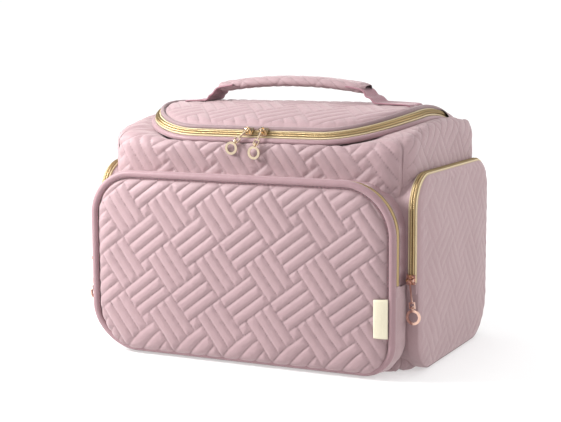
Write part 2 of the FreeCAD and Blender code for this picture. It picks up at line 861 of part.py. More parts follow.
def pull_ring_shape(outer):
    """The finger ring, with its lug round the link's cross bar as its origin."""
    half = size("pull_thick") / 2
    thick = size("ring_thick") / 2
    lug = size("ring_lug")
    drop = lug + outer - size("ring_band") / 4
    disc = Part.makeCylinder(outer, 2 * thick, Vector(0, -drop, -thick), Vector(0, 0, 1))
    hole = Part.makeCylinder(outer - size("ring_band"), 4 * thick, Vector(0, -drop, -2 * thick), Vector(0, 0, 1))
    solid = disc.fuse(rod(lug, half, 0, 0)).cut(hole)
    return solid.cut(rod(size("ring_hole"), 2 * half, 0, 0)).removeSplitter()


def axes_rotation(bar_axis, across, off):
    """The rotation that takes u, v and w to three given directions."""
    matrix = FreeCAD.Matrix(
        bar_axis.x, across.x, off.x, 0, bar_axis.y, across.y, off.y, 0, bar_axis.z, across.z, off.z, 0, 0, 0, 0, 1
    )
    return Rotation(matrix)


def slider_set(label, origin, axes, bar_across, hang, lean, length, outer):
    """A slider at its place, and its link and ring hanging from the bail's bar."""
    along, across, off = axes
    slider = feature(label, slider_shape(bar_across))
    place(slider, base=origin, rotation=axes_rotation(along, across, off))
    bar_axis = across if bar_across else along
    bail = origin + off * size("bail_height")
    link_down, ring_down = hang
    link_up = link_down * -1
    face = bar_axis.cross(link_up)
    turn = Rotation(face, lean)
    link = feature(label.replace("slider", "link"), link_shape(length))
    place(link, base=bail, rotation=turn.multiply(axes_rotation(bar_axis, link_up, face)))
    bar = bail + turn.multVec(link_down) * length
    ring_up = ring_down * -1
    ring_face = bar_axis.cross(ring_up)
    ring_turn = Rotation(ring_face, lean).multiply(axes_rotation(bar_axis, ring_up, ring_face))
    piece = feature(label.replace("slider", "ring"), pull_ring_shape(outer))
    place(piece, base=bar, rotation=ring_turn)
    shift = Vector(0, size("body_shift"), 0)
    report_axis(label + " bail", bail + shift, bar_axis)
    report_axis(label + " ring", bar + shift, ring_turn.multVec(Vector(1, 0, 0)))


def report_axis(name, point, direction):
    """Prints a joint's place in metres and its direction."""
    place_text = ", ".join(f"{c / 1000:.6f}" for c in point)
    axis_text = ", ".join(f"{c:.6f}" for c in direction)
    print(f"{name}: [{place_text}] axis [{axis_text}]")


def lid_sliders():
    """Two sliders head to head on the lid's front stretch, their pulls lying over the shoulder."""
    tilt = math.radians(size("zip_tilt"))
    off = Vector(0, -math.sin(tilt), math.cos(tilt))
    across = Vector(0, math.cos(tilt), math.sin(tilt))
    stand = size("zip_teeth_thick") + size("slider_clear")
    slope = math.radians(size("pull_slope"))
    link_way = Vector(0, -math.sin(slope), -math.cos(slope))
    for side in ("left", "right"):
        spine = Vector(size(f"lid_slider_{side}"), -size("lid_front"), vault_height(size("lid_front")))
        slider_set(
            f"lid_slider_{side}",
            spine + off * stand,
            (Vector(1, 0, 0), across, off),
            False,
            (link_way, Vector(0, 0, -1)),
            size(f"lid_pull_lean_{side}"),
            size("pull_length"),
            size("ring_outer"),
        )


def pocket_sliders():
    """One slider at a low end of each pocket's zip, its pull hanging down."""
    low_end = size("flap_split") + size("slider_park")
    stand = size("zip_teeth_thick") - size("zip_tape_thick") + size("slider_clear")
    lean = -size("side_pull_lean")
    down = Vector(0, 0, -1)
    front = Vector(-size("front_half_width"), -size("front_zip_split"), low_end)
    left = Vector(-size("side_zip_split"), size("side_back"), low_end)
    right = Vector(size("side_zip_split"), -size("side_front"), low_end)
    places = (
        ("front", front, Vector(-1, 0, 0), Vector(0, 1, 0), 0.0),
        ("side_left", left, Vector(0, 1, 0), Vector(1, 0, 0), lean),
        ("side_right", right, Vector(0, -1, 0), Vector(-1, 0, 0), lean),
    )
    for name, origin, off, across, turn in places:
        along = across.cross(off)
        slider_set(
            f"{name}_slider",
            origin + off * stand,
            (along, across, off),
            True,
            (down, down),
            turn,
            size("pull_long"),
            size("ring_large"),
        )


body_panels()
body_inside()
lid_zip()
lid_pieces()
hinge_binding()
handle()
front_pocket()
side_pocket("left", -1)
side_pocket("right", 1)
lid_sliders()
pocket_sliders()
doc.recompute()

for item in doc.Objects:
    bad = [word for word in item.State if word in ("Invalid", "Error")]
    if bad:
        raise RuntimeError(f"{item.Label}: {bad}")
for item in NODES:
    if item.Shape.isNull() or not item.Shape.isValid() or item.Shape.Volume <= 0:
        raise RuntimeError(f"{item.Label}: bad shape")
    item.Shape.exportStep(f"parts/{item.Label}.step")
    bounds = item.Shape.optimalBoundingBox(False, False)
    extent = [round(v, 1) for v in (bounds.XMin, bounds.XMax, bounds.YMin, bounds.YMax, bounds.ZMin, bounds.ZMax)]
    print(f"{item.Label:26s} solids {len(item.Shape.Solids)} volume {item.Shape.Volume:10.1f} {extent}")
print(len(NODES), "sub-parts")
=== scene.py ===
import json
import math

import bpy
import numpy as np
from mathutils import Matrix, Vector


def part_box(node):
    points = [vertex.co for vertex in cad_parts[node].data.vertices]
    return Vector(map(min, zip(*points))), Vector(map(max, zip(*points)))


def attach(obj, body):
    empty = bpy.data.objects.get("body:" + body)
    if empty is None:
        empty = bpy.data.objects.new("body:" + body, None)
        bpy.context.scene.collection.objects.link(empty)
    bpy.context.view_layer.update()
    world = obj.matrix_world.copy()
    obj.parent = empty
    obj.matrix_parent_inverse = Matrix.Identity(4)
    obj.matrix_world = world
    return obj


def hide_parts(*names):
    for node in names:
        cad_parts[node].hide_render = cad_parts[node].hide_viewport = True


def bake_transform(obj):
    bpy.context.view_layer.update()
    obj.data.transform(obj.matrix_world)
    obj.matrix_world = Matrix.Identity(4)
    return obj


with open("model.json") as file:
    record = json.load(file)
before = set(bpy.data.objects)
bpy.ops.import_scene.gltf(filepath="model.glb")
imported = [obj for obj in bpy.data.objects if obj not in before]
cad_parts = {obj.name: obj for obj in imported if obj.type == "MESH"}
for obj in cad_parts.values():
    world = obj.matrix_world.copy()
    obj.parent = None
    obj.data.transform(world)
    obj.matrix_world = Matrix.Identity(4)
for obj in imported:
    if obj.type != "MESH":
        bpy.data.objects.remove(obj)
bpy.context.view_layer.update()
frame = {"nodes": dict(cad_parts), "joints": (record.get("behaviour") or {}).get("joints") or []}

# ---------------------------------------------------------------- driving sizes, in millimetres
# Shapes are worked out around the middle of the case body, with Y = 0 half way through it. mesh_from() moves
# them back by SHIFT and turns millimetres into metres.


def corners(node):
    """A CAD node's box in millimetres, around the middle of the case body."""
    low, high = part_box(node)
    return np.array(low) * 1000 - OFFSET, np.array(high) * 1000 - OFFSET


base_low, base_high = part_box("base_panel")
SHIFT = (base_low.y + base_high.y) * 500
OFFSET = np.array([0.0, SHIFT, 0.0])
HALF_WIDTH = base_high.x * 1000
HALF_DEPTH = (base_high.y - base_low.y) * 500

BODY_CORNER = 26.0
BASE_ROUND = 8.0
SEAM = corners("front_wall")[1][0]
SEAM_IN = SEAM - HALF_WIDTH + BODY_CORNER
SEAM_FRONT = -HALF_DEPTH + BODY_CORNER - math.sqrt(BODY_CORNER ** 2 - SEAM_IN ** 2)

VAULT_RADIUS = 220.0
VAULT_TOP = 221.5
LID_HALF_WIDTH = 132.0
LID_FRONT = 86.0
LID_FRONT_CORNER = 72.0
LID_BACK_CORNER = 14.0
LID_CORNERS = (LID_FRONT_CORNER, LID_BACK_CORNER, LID_BACK_CORNER, LID_FRONT_CORNER)
ZIP_TILT = math.radians(50.0)
ZIP_END = corners("lid_zip_upper_tape")[1][1]
LID_BACK = corners("lid_panel")[1][1]
HINGE = next(j for j in frame["joints"] if j["name"] == "lid_hinge")["pos_m"]
HINGE_Y = HINGE[1] * 1000 - SHIFT
HINGE_Z = HINGE[2] * 1000

FRONT_HALF = corners("front_flap_panel")[1][0]
FRONT_TOP = corners("front_flap_panel")[1][2]
FRONT_FACE = -corners("front_flap_panel")[0][1]
FRONT_LOW = corners("front_pocket_pouch")[0][2]
FRONT_CORNERS = (30.0, 47.0, 42.0, 44.0)
PIPING_DEPTH = -(corners("front_piping_upper")[0][1] + corners("front_piping_upper")[1][1]) / 2
FRONT_ZIP = (-corners("front_zip_inner_tape")[1][1], -corners("front_zip_outer_tape")[0][1])
FOLD = corners("front_pocket_pouch")[1][2] + 0.6

SIDE_LOW = corners("side_pouch_right")[0]
SIDE_HIGH = corners("side_flap_right")[1]
SIDE_CORNERS = (42.0, 27.0, 30.0, 30.0)
SIDE_ZIP = (corners("side_zip_inner_right")[0][0], corners("side_zip_outer_right")[1][0])

DIVIDER_CORNERS = (8.0, 20.0, 20.0, 8.0)
RIB = 10.0          # width of one quilted rib
QUILT_ORIGIN = (3.2, 86.0)

TAPE_REACH = 3.9     # how far a zip's tape shows on each side of its middle
TAPE_SECTION = [(0.2, 0.3), (0.2, 0.9), (3.0, 0.9), (TAPE_REACH, 0.5), (TAPE_REACH, -0.4), (2.0, -0.4)]
COIL_RADIUS = 1.05   # half a coil zip's teeth, across one row
COIL_PITCH = 1.35    # length of one turn of the coil
STITCH = 2.6         # length of one stitch
STITCH_GAP = 1.0     # space between two stitches
THREAD = 0.35        # half the width of the sewing thread
FACE_STEP = 1.3      # spacing of the rows over a pocket's face

RIM_GROW = 4.9       # the case's rim lies this far outside the lid's outline
RIM_DROP = 6.3       # and this far below the zip's line
LID_CROWN = 1.8      # how much higher the lid is half way between its sides
GRIP_HALF = 4.6      # half the grip's thickness
GRIP_SAG = 6.5       # how much lower the grip's ends are than its middle


# ---------------------------------------------------------------- mesh helpers


def mesh_from(name, points, faces, groove=None):
    """A smooth object from points in millimetres and four-sided faces."""
    mesh = bpy.data.meshes.new(name)
    points = (np.asarray(points, float) + OFFSET) / 1000
    faces = np.asarray(faces, np.int32)
    mesh.vertices.add(len(points))
    mesh.vertices.foreach_set("co", points.astype(np.float32).ravel())
    mesh.loops.add(faces.size)
    mesh.loops.foreach_set("vertex_index", faces.ravel())
    mesh.polygons.add(len(faces))
    mesh.polygons.foreach_set("loop_start", np.arange(0, faces.size, faces.shape[1], dtype=np.int32))
    mesh.update(calc_edges=True)
    mesh.validate()
    mesh.polygons.foreach_set("use_smooth", np.ones(len(mesh.polygons), bool))
    # groove is 0 in the quilting's seams and 1 on the ribs; the quilted cloth paints shade where it is low
    if groove is not None:
        layer = mesh.attributes.new("groove", "FLOAT", "POINT")
        layer.data.foreach_set("value", np.asarray(groove, np.float32).ravel())
    thing = bpy.data.objects.new(name, mesh)
    bpy.context.scene.collection.objects.link(thing)
    return thing


def grid_faces(rows, columns, wrap_rows=False, wrap_columns=False, flip=False, first=0):
    """Faces of a grid of points, row after row."""
    last_row = rows if wrap_rows else rows - 1
    last_column = columns if wrap_columns else columns - 1
    r, c = np.meshgrid(np.arange(last_row), np.arange(last_column), indexing="ij")
    right = (c + 1) % columns
    above = (r + 1) % rows
    low = r * columns
    high = above * columns
    quads = np.stack([low + c, low + right, high + right, high + c], -1).reshape(-1, 4) + first
    return quads[:, ::-1] if flip else quads


def grid_piece(name, grid, groove=None, **options):
    """An object from a grid of points, rows by columns by three."""
    rows, columns = grid.shape[:2]
    return mesh_from(name, grid.reshape(-1, 3), grid_faces(rows, columns, **options), groove)


def normals_of(grid):
    """Unit normals of a grid of points."""
    down = np.gradient(grid, axis=0)
    across = np.gradient(grid, axis=1)
    normal = np.cross(across, down)
    return normal / np.maximum(np.linalg.norm(normal, axis=2, keepdims=True), 1e-9)


def smooth_step(t):
    """A soft step from 0 to 1."""
    t = np.clip(t, 0, 1)
    return t * t * (3 - 2 * t)


def ripple(a, b, seed=0.0):
    """Gentle unevenness of a hand-filled fabric, from -1 to 1."""
    wave = np.sin(a / 23 + 1.7 * seed) * np.cos(b / 31 + 0.6 + seed)
    wave = wave + 0.6 * np.sin(a / 41 - b / 27 + 2.1 * seed) + 0.4 * np.sin(a / 11 + b / 13 + seed)
    return wave / 2


# ---------------------------------------------------------------- quilting

# One repeat of the basket quilting, in rib widths: three ribs one way, three the other way, and a small
# square. It repeats by (4, -3) and (3, 4), which is a square lattice turned against the ribs.
RIBS = [(0, 4, k, k + 1) for k in range(3)] + [(k, k + 1, 3, 7) for k in range(3)] + [(3, 4, 3, 4)]


def quilt(across, up, rib=RIB):
    """Height of the basket quilting, 0 in the seams and 1 on top of the ribs, over a flat pattern."""
    x = (across - QUILT_ORIGIN[0]) / rib
    z = (up - QUILT_ORIGIN[1]) / rib
    u = 0.8 * x + 0.6 * z
    v = -0.6 * x + 0.8 * z
    i = np.floor((4 * u - 3 * v) / 25)
    j = np.floor((3 * u + 4 * v) / 25)
    u = u - 4 * i - 3 * j
    v = v + 3 * i - 4 * j
    inside = np.zeros_like(u)
    for di in (-1, 0, 1):
        for dj in (-1, 0, 1):
            uu = u - 4 * di - 3 * dj
            vv = v + 3 * di - 4 * dj
            for low_u, high_u, low_v, high_v in RIBS:
                reach = np.minimum(np.minimum(uu - low_u, high_u - uu), np.minimum(vv - low_v, high_v - vv))
                inside = np.maximum(inside, reach)
    fall = 1 - 2 * np.clip(inside, 0, 0.5)
    return (1 - fall ** 2.2) ** 0.62


# ---------------------------------------------------------------- outlines


def rounded_outline(left, right, low, high, radii, step=1.5):
    """Points and outward normals round a rectangle with round corners, anticlockwise from the low middle.

    The radii are those of the low right, high right, high left and low left corners.
    """
    low_right, high_right, high_left, low_left = radii
    points, normals = [], []

    def straight(start, stop, normal):
        count = max(2, int(np.hypot(stop[0] - start[0], stop[1] - start[1]) / step))
        for t in np.arange(count) / count:
            points.append((start[0] + t * (stop[0] - start[0]), start[1] + t * (stop[1] - start[1])))
            normals.append(normal)

    def bend(cx, cy, radius, begin):
        count = max(6, int(radius * math.pi / 2 / step))
        for t in np.arange(count) / count:
            angle = begin + t * math.pi / 2
            points.append((cx + radius * math.cos(angle), cy + radius * math.sin(angle)))
            normals.append((math.cos(angle), math.sin(angle)))

    quarter = math.pi / 2
    middle = (left + right) / 2
    straight((middle, low), (right - low_right, low), (0, -1))
    bend(right - low_right, low + low_right, low_right, -quarter)
    straight((right, low + low_right), (right, high - high_right), (1, 0))
    bend(right - high_right, high - high_right, high_right, 0)
    straight((right - high_right, high), (left + high_left, high), (0, 1))
    bend(left + high_left, high - high_left, high_left, quarter)
    straight((left, high - high_left), (left, low + low_left), (-1, 0))
    bend(left + low_left, low + low_left, low_left, 2 * quarter)
    straight((left + low_left, low), (middle, low), (0, -1))
    return np.array(points), np.array(normals)


def front_outline(grow):
    """The front pocket's outline in X and Z, moved outwards."""
    return rounded_outline(
        -FRONT_HALF - grow, FRONT_HALF + grow, FRONT_LOW - grow, FRONT_TOP + grow,
        [radius + grow for radius in FRONT_CORNERS],
    )


def side_outline():
    """A side pocket's outline in Y and Z."""
    return rounded_outline(SIDE_LOW[1], SIDE_HIGH[1], SIDE_LOW[2], SIDE_HIGH[2], SIDE_CORNERS)


def lid_outline(grow, step):
    """The lid's outline in X and Y, moved outwards; low is the front."""
    return rounded_outline(
        -LID_HALF_WIDTH - grow, LID_HALF_WIDTH + grow, -LID_FRONT - grow, LID_FRONT + grow,
        [radius + grow for radius in LID_CORNERS], step,
    )


def vault(y):
    """Height of the zip line at a distance from the middle, front to back."""
    return VAULT_TOP - VAULT_RADIUS + np.sqrt(VAULT_RADIUS ** 2 - np.asarray(y, float) ** 2)


HALVINGS = 40            # steps of the search for the wall
FARTHEST_WALL = 90.0     # no wall is farther than this from the lid's outline


def plan_hit(points, normals, inset):
    """Where rays from the lid's outline meet the case's plan, moved inwards by an inset."""
    half = np.array([HALF_WIDTH - inset, HALF_DEPTH - inset])
    corner = BODY_CORNER - inset
    low = np.zeros(len(points))
    high = np.full(len(points), FARTHEST_WALL)
    for _ in range(HALVINGS):
        middle = (low + high) / 2
        place = np.abs(points + normals * middle[:, None]) - (half - corner)
        outside = np.linalg.norm(np.maximum(place, 0), axis=1) + np.minimum(place.max(axis=1), 0) - corner
        low = np.where(outside < 0, middle, low)
        high = np.where(outside < 0, high, middle)
    return points + normals * low[:, None]


# ---------------------------------------------------------------- materials


def new_material(name):
    """An empty node material with its principled shader."""
    material = bpy.data.materials.new(name)
    material.use_nodes = True
    tree = material.node_tree
    shader = tree.nodes["Principled BSDF"]
    return material, tree, shader


def add(tree, kind, **values):
    """Adds a node and sets its properties and inputs."""
    item = tree.nodes.new(kind)
    for key, value in values.items():
        if hasattr(item, key):
            setattr(item, key, value)
        else:
            item.inputs[key.replace("_", " ")].default_value = value
    return item


def crinkles(tree, place, strength):
    """Small soft creases of a light cloth, as a surface normal."""
    crease = add(tree, "ShaderNodeTexNoise", Scale=170.0, Detail=3.0, Distortion=0.6)
    relief = add(tree, "ShaderNodeBump", Strength=strength, Distance=0.0012)
    tree.links.new(place, crease.inputs["Vector"])
    tree.links.new(crease.outputs["Fac"], relief.inputs["Height"])
    return relief.outputs["Normal"]


DYE_SPREAD = 0.06        # how much lighter and darker the dye gets, as a share of the colour


def thread_height(tree, place, fleck, weave):
    """Height of the crossed threads of a weave, from bands along three directions and a fine noise."""
    link = tree.links.new
    threads = []
    for direction in ("X", "Y", "Z"):
        wave = add(tree, "ShaderNodeTexWave", wave_type="BANDS", bands_direction=direction)
        wave.inputs["Scale"].default_value = 1000 / weave / 6.3
        wave.inputs["Distortion"].default_value = 1.2
        link(place, wave.inputs["Vector"])
        threads.append(wave.outputs["Fac"])
    crossed = add(tree, "ShaderNodeMath", operation="MULTIPLY")
    link(threads[0], crossed.inputs[0])
    link(threads[1], crossed.inputs[1])
    height = add(tree, "ShaderNodeMath", operation="MULTIPLY_ADD")
    link(threads[2], height.inputs[0])
    link(crossed.outputs[0], height.inputs[1])
    link(fleck, height.inputs[2])
    return height.outputs[0]


def dyed(tree, colour, cloud, fleck):
    """A cloth's colour: cloudy dye with lighter and darker flecks."""
    link = tree.links.new
    tint = add(tree, "ShaderNodeMix", data_type="RGBA")
    tint.inputs[6].default_value = tuple(c * (1 - DYE_SPREAD) for c in colour) + (1.0,)
    tint.inputs[7].default_value = tuple(min(1.0, c * (1 + DYE_SPREAD)) for c in colour) + (1.0,)
    link(cloud, tint.inputs[0])
    grey = add(tree, "ShaderNodeMapRange")
    grey.inputs["To Min"].default_value = 0.75
    grey.inputs["To Max"].default_value = 1.15
    link(fleck, grey.inputs["Value"])
    speckle = add(tree, "ShaderNodeMix", data_type="RGBA", blend_type="MULTIPLY")
    speckle.inputs[0].default_value = 0.25
    link(tint.outputs[2], speckle.inputs[6])
    link(grey.outputs["Result"], speckle.inputs[7])
    return speckle.outputs[2]


def fabric(name, colour, weave=0.45, roughness=0.58, sheen=0.3, groove_shade=False, bump=0.25, crinkle=0.3):
    """Woven cloth: crossed threads in relief, uneven dye, and painted shade in the grooves if it is quilted.
    """
    material, tree, shader = new_material(name)
    link = tree.links.new
    place = add(tree, "ShaderNodeTexCoord").outputs["Object"]
    cloud = add(tree, "ShaderNodeTexNoise", Scale=28.0, Detail=4.0)
    fleck = add(tree, "ShaderNodeTexNoise", Scale=1400.0, Detail=2.0)
    link(place, cloud.inputs["Vector"])
    link(place, fleck.inputs["Vector"])
    relief = add(tree, "ShaderNodeBump", Strength=bump, Distance=0.0003)
    link(crinkles(tree, place, crinkle), relief.inputs["Normal"])
    link(thread_height(tree, place, fleck.outputs["Fac"], weave), relief.inputs["Height"])
    link(relief.outputs["Normal"], shader.inputs["Normal"])
    result = dyed(tree, colour, cloud.outputs["Fac"], fleck.outputs["Fac"])
    # painted shade in the quilting's seams, driven by the groove attribute
    if groove_shade:
        result = darken_grooves(tree, result, colour)
    link(result, shader.inputs["Base Color"])
    shader.inputs["Roughness"].default_value = roughness
    shader.inputs["Sheen Weight"].default_value = sheen
    shader.inputs["Sheen Roughness"].default_value = 0.45
    shader.inputs["Sheen Tint"].default_value = (1.0, 0.86, 0.86, 1.0)
    shader.inputs["Specular IOR Level"].default_value = 0.35
    return material


def darken_grooves(tree, colour_socket, colour):
    """Painted shade in the stitched seams between ribs: the cloth's colour darkens where the groove
    attribute is low.
    """
    groove = add(tree, "ShaderNodeAttribute", attribute_name="groove")
    edge = add(tree, "ShaderNodeMapRange")
    edge.inputs["From Max"].default_value = 0.55
    tree.links.new(groove.outputs["Fac"], edge.inputs["Value"])
    # painted shade: in the seams the colour falls to two thirds of the cloth's own
    shade = add(tree, "ShaderNodeMix", data_type="RGBA")
    shade.inputs[6].default_value = tuple(c * 0.66 for c in colour) + (1.0,)
    tree.links.new(edge.outputs["Result"], shade.inputs[0])
    tree.links.new(colour_socket, shade.inputs[7])
    return shade.outputs[2]


def metal(name, colour, roughness=0.22):
    """Plated metal with fine scratches and dulled patches."""
    material, tree, shader = new_material(name)
    link = tree.links.new
    place = add(tree, "ShaderNodeTexCoord").outputs["Object"]
    patch = add(tree, "ShaderNodeTexNoise", Scale=260.0, Detail=6.0)
    link(place, patch.inputs["Vector"])
    dull = add(tree, "ShaderNodeMapRange")
    dull.inputs["To Min"].default_value = roughness * 0.7
    dull.inputs["To Max"].default_value = roughness * 1.5
    link(patch.outputs["Fac"], dull.inputs["Value"])
    link(dull.outputs["Result"], shader.inputs["Roughness"])
    tint = add(tree, "ShaderNodeMix", data_type="RGBA")
    tint.inputs[6].default_value = tuple(c * 0.88 for c in colour) + (1.0,)
    tint.inputs[7].default_value = tuple(colour) + (1.0,)
    link(patch.outputs["Fac"], tint.inputs[0])
    link(tint.outputs[2], shader.inputs["Base Color"])
    relief = add(tree, "ShaderNodeBump", Strength=0.08, Distance=0.0002)
    link(patch.outputs["Fac"], relief.inputs["Height"])
    link(relief.outputs["Normal"], shader.inputs["Normal"])
    shader.inputs["Metallic"].default_value = 1.0
    return material


PINK = (0.340, 0.231, 0.243)
ROSE = (0.285, 0.174, 0.190)
LOOKS = {
    "quilted": fabric("quilted_fabric", PINK, groove_shade=True, crinkle=0.5),
    "plain": fabric("plain_fabric", PINK, bump=0.3),
    "net": fabric("net_cord", (0.30, 0.19, 0.205), weave=0.3, roughness=0.7, sheen=0.1),
    # binding: darker rose for the piping, welt and bound edges; the front gusset also wears it as painted
    # shade
    "binding": fabric("binding_fabric", ROSE, weave=0.35, roughness=0.5, sheen=0.4, bump=0.2),
    "webbing": fabric("webbing_fabric", (0.290, 0.150, 0.178), weave=0.9, roughness=0.7, bump=0.5),
    "lining": fabric("lining_cloth", (0.52, 0.385, 0.38), weave=0.3, roughness=0.42, sheen=0.2, bump=0.12),
    "divider": fabric("divider_cloth", (0.50, 0.36, 0.36), weave=0.4, roughness=0.6),
    "tape": fabric("zip_tape", (0.52, 0.41, 0.24), weave=0.5, roughness=0.5, sheen=0.1, bump=0.4),
    "edging": fabric("zip_edging", (0.72, 0.60, 0.38), weave=0.4, roughness=0.4, sheen=0.1, bump=0.3),
    "thread": fabric("thread", (0.36, 0.19, 0.22), weave=0.3, roughness=0.6),
    "tag": fabric("blank_tag", (0.74, 0.68, 0.52), weave=0.5, roughness=0.75, sheen=0.1, bump=0.5),
    "coil": metal("zip_coil", (0.44, 0.32, 0.17), 0.3),
    "rose_gold": metal("rose_gold", (0.70, 0.46, 0.37), 0.14),
    "pale_gold": metal("pale_gold", (0.80, 0.65, 0.47), 0.16),
}


def finish_piece(thing, look, body=None, replaces=(), blend=None):
    """Gives a piece its material and slot, and makes it move with its body; a piece with a blend only has
    its transform baked.
    """
    thing.data.materials.clear()
    thing.data.materials.append(LOOKS[look])
    if blend:
        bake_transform(thing)
    else:
        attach(thing, body)
    if replaces:
        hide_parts(*replaces)
    return thing


def front_blend():
    """The front cover's fold from the fixed pouch to the flap, as two bodies and two points, which
    finish_piece does not use to bend it.
    """
    return ("case", "front_flap", (0, -FRONT_FACE, FOLD - 5), (0, -FRONT_FACE, FOLD + 5))


# ---------------------------------------------------------------- sweeps


def sweep(name, path, sides, ups, section, closed=False, flip=False):
    """Sweeps a section, given as (along side, along up) pairs, along a path with its own frames."""
    section = np.asarray(section, float)
    grid = (
        path[:, None, :]
        + sides[:, None, :] * section[None, :, 0, None]
        + ups[:, None, :] * section[None, :, 1, None]
    )
    return grid_piece(name, grid, wrap_rows=closed, wrap_columns=True, flip=flip)


def circle_section(radius, count=12, squash=1.0):
    """A round or flattened closed section."""
    angle = np.arange(count) / count * 2 * math.pi
    return np.stack([radius * np.cos(angle), radius * squash * np.sin(angle)], 1)


def arc_lengths(path):
    """Distance along a path at each of its points."""
    return np.concatenate([[0], np.cumsum(np.linalg.norm(np.diff(path, axis=0), axis=1))])


def directions(path):
    """Unit directions along a path."""
    tangent = np.gradient(path, axis=0)
    return tangent / np.linalg.norm(tangent, axis=1, keepdims=True)


def resample(path, step, *others):
    """Even steps along a path, with the same for arrays that go with it."""
    length = arc_lengths(path)
    count = max(2, int(round(length[-1] / step)) + 1)
    even = np.linspace(0, length[-1], count)
    result = []
    for values in (path, *others):
        result.append(np.stack([np.interp(even, length, values[:, k]) for k in range(values.shape[1])], 1))
    return result


def coil(name, path, sides, ups):
    """Half of a coil zip's teeth: a cord with a ridge for each turn of the coil."""
    radius = COIL_RADIUS
    path, sides, ups = resample(path, COIL_PITCH / 3, sides, ups)
    count = len(path)
    ridge = 1 + 0.28 * np.cos(np.arange(count) * 2 * math.pi / 3)
    angle = np.arange(8) / 8 * 2 * math.pi
    grid = (
        path[:, None, :]
        + sides[:, None, :] * (radius * np.cos(angle))[None, :, None] * ridge[:, None, None]
        + ups[:, None, :] * (radius * 0.8 * np.sin(angle))[None, :, None] * ridge[:, None, None]
    )
    return grid_piece(name, grid, wrap_columns=True)


def stitches(name, path, ups, sides):
    """A row of short raised stitches along a path."""
    path, ups, sides = resample(path, 0.45, ups, sides)
    along = arc_lengths(path)
    count = int(along[-1] / (STITCH + STITCH_GAP))
    points, faces = [], []
    ring = np.arange(6) / 6 * 2 * math.pi
    profile = ((0.0, 0.1), (0.2, 0.9), (0.5, 1.0), (0.8, 0.9), (1.0, 0.1))
    for index in range(count):
        start = index * (STITCH + STITCH_GAP)
        first = len(points)
        for share, swell in profile:
            place = start + share * STITCH
            centre, up, side = (
                np.array([np.interp(place, along, values[:, k]) for k in range(3)])
                for values in (path, ups, sides)
            )
            for angle in ring:
                points.append(centre + (up * math.sin(angle) + side * math.cos(angle)) * THREAD * swell)
        faces.append(grid_faces(len(profile), 6, wrap_columns=True, first=first))
    return mesh_from(name, np.array(points), np.concatenate(faces))


# ---------------------------------------------------------------- case body


def shell_grid(inset, rim_grow, rim_drop, floor_round, along):
    """The case's side surface: rows go up the walls and over the shoulder to the lid's rim."""
    points, normals = lid_outline(rim_grow, 0.5)
    closed = np.vstack([points, points[:1]])
    length = arc_lengths(closed)
    share = np.asarray(along) * length[-1]
    rim = np.stack([np.interp(share, length, closed[:, k]) for k in range(2)], 1)
    turned = np.vstack([normals, normals[:1]])
    normal = np.stack([np.interp(share, length, turned[:, k]) for k in range(2)], 1)
    normal /= np.linalg.norm(normal, axis=1, keepdims=True)
    wall = plan_hit(rim, normal, inset)
    rim_height = vault(np.clip(rim[:, 1], -LID_FRONT, LID_FRONT)) - rim_drop
    reach = np.linalg.norm(wall - rim, axis=1)
    shoulder = 12 + 0.06 * reach
    back = smooth_step((rim[:, 1] - 55) / 28)
    puff = 1.2 + 5.5 * smooth_step((rim[:, 1] - 5) / 60) * smooth_step(np.abs(rim[:, 0]) / 60)
    rim_height = rim_height + 5.0 * back
    rows = []
    heights = []
    for angle in np.linspace(0, math.pi / 2, 9):
        shift = floor_round * (1 - math.sin(angle))
        rows.append(wall - normal * shift)
        heights.append(np.full(len(wall), inset + floor_round * (1 - math.cos(angle))))
    start = inset + floor_round
    for t in np.linspace(0, 1, 118)[1:]:
        rows.append(wall)
        heights.append(start + (rim_height - shoulder - start) * t)
    for angle in np.linspace(0, math.pi / 2, 30)[1:]:
        rows.append(wall + (rim - wall) * (1 - math.cos(angle) ** 0.75))
        lift = puff * math.sin(angle) ** 2 * math.cos(angle) * 2
        heights.append(rim_height - shoulder * (1 - math.sin(angle) ** 0.75) + lift)
    return np.concatenate([np.array(rows), np.array(heights)[..., None]], axis=2)


def perimeter_share(x, y):
    """The place along the lid's outline, from 0 to 1, whose ray meets the plan nearest a point."""
    points, normals = lid_outline(0.0, 0.5)
    wall = plan_hit(points, normals, 0.0)
    length = arc_lengths(np.vstack([points, points[:1]]))
    nearest = np.argmin(np.hypot(wall[:, 0] - x, wall[:, 1] - y))
    return length[nearest] / length[-1]


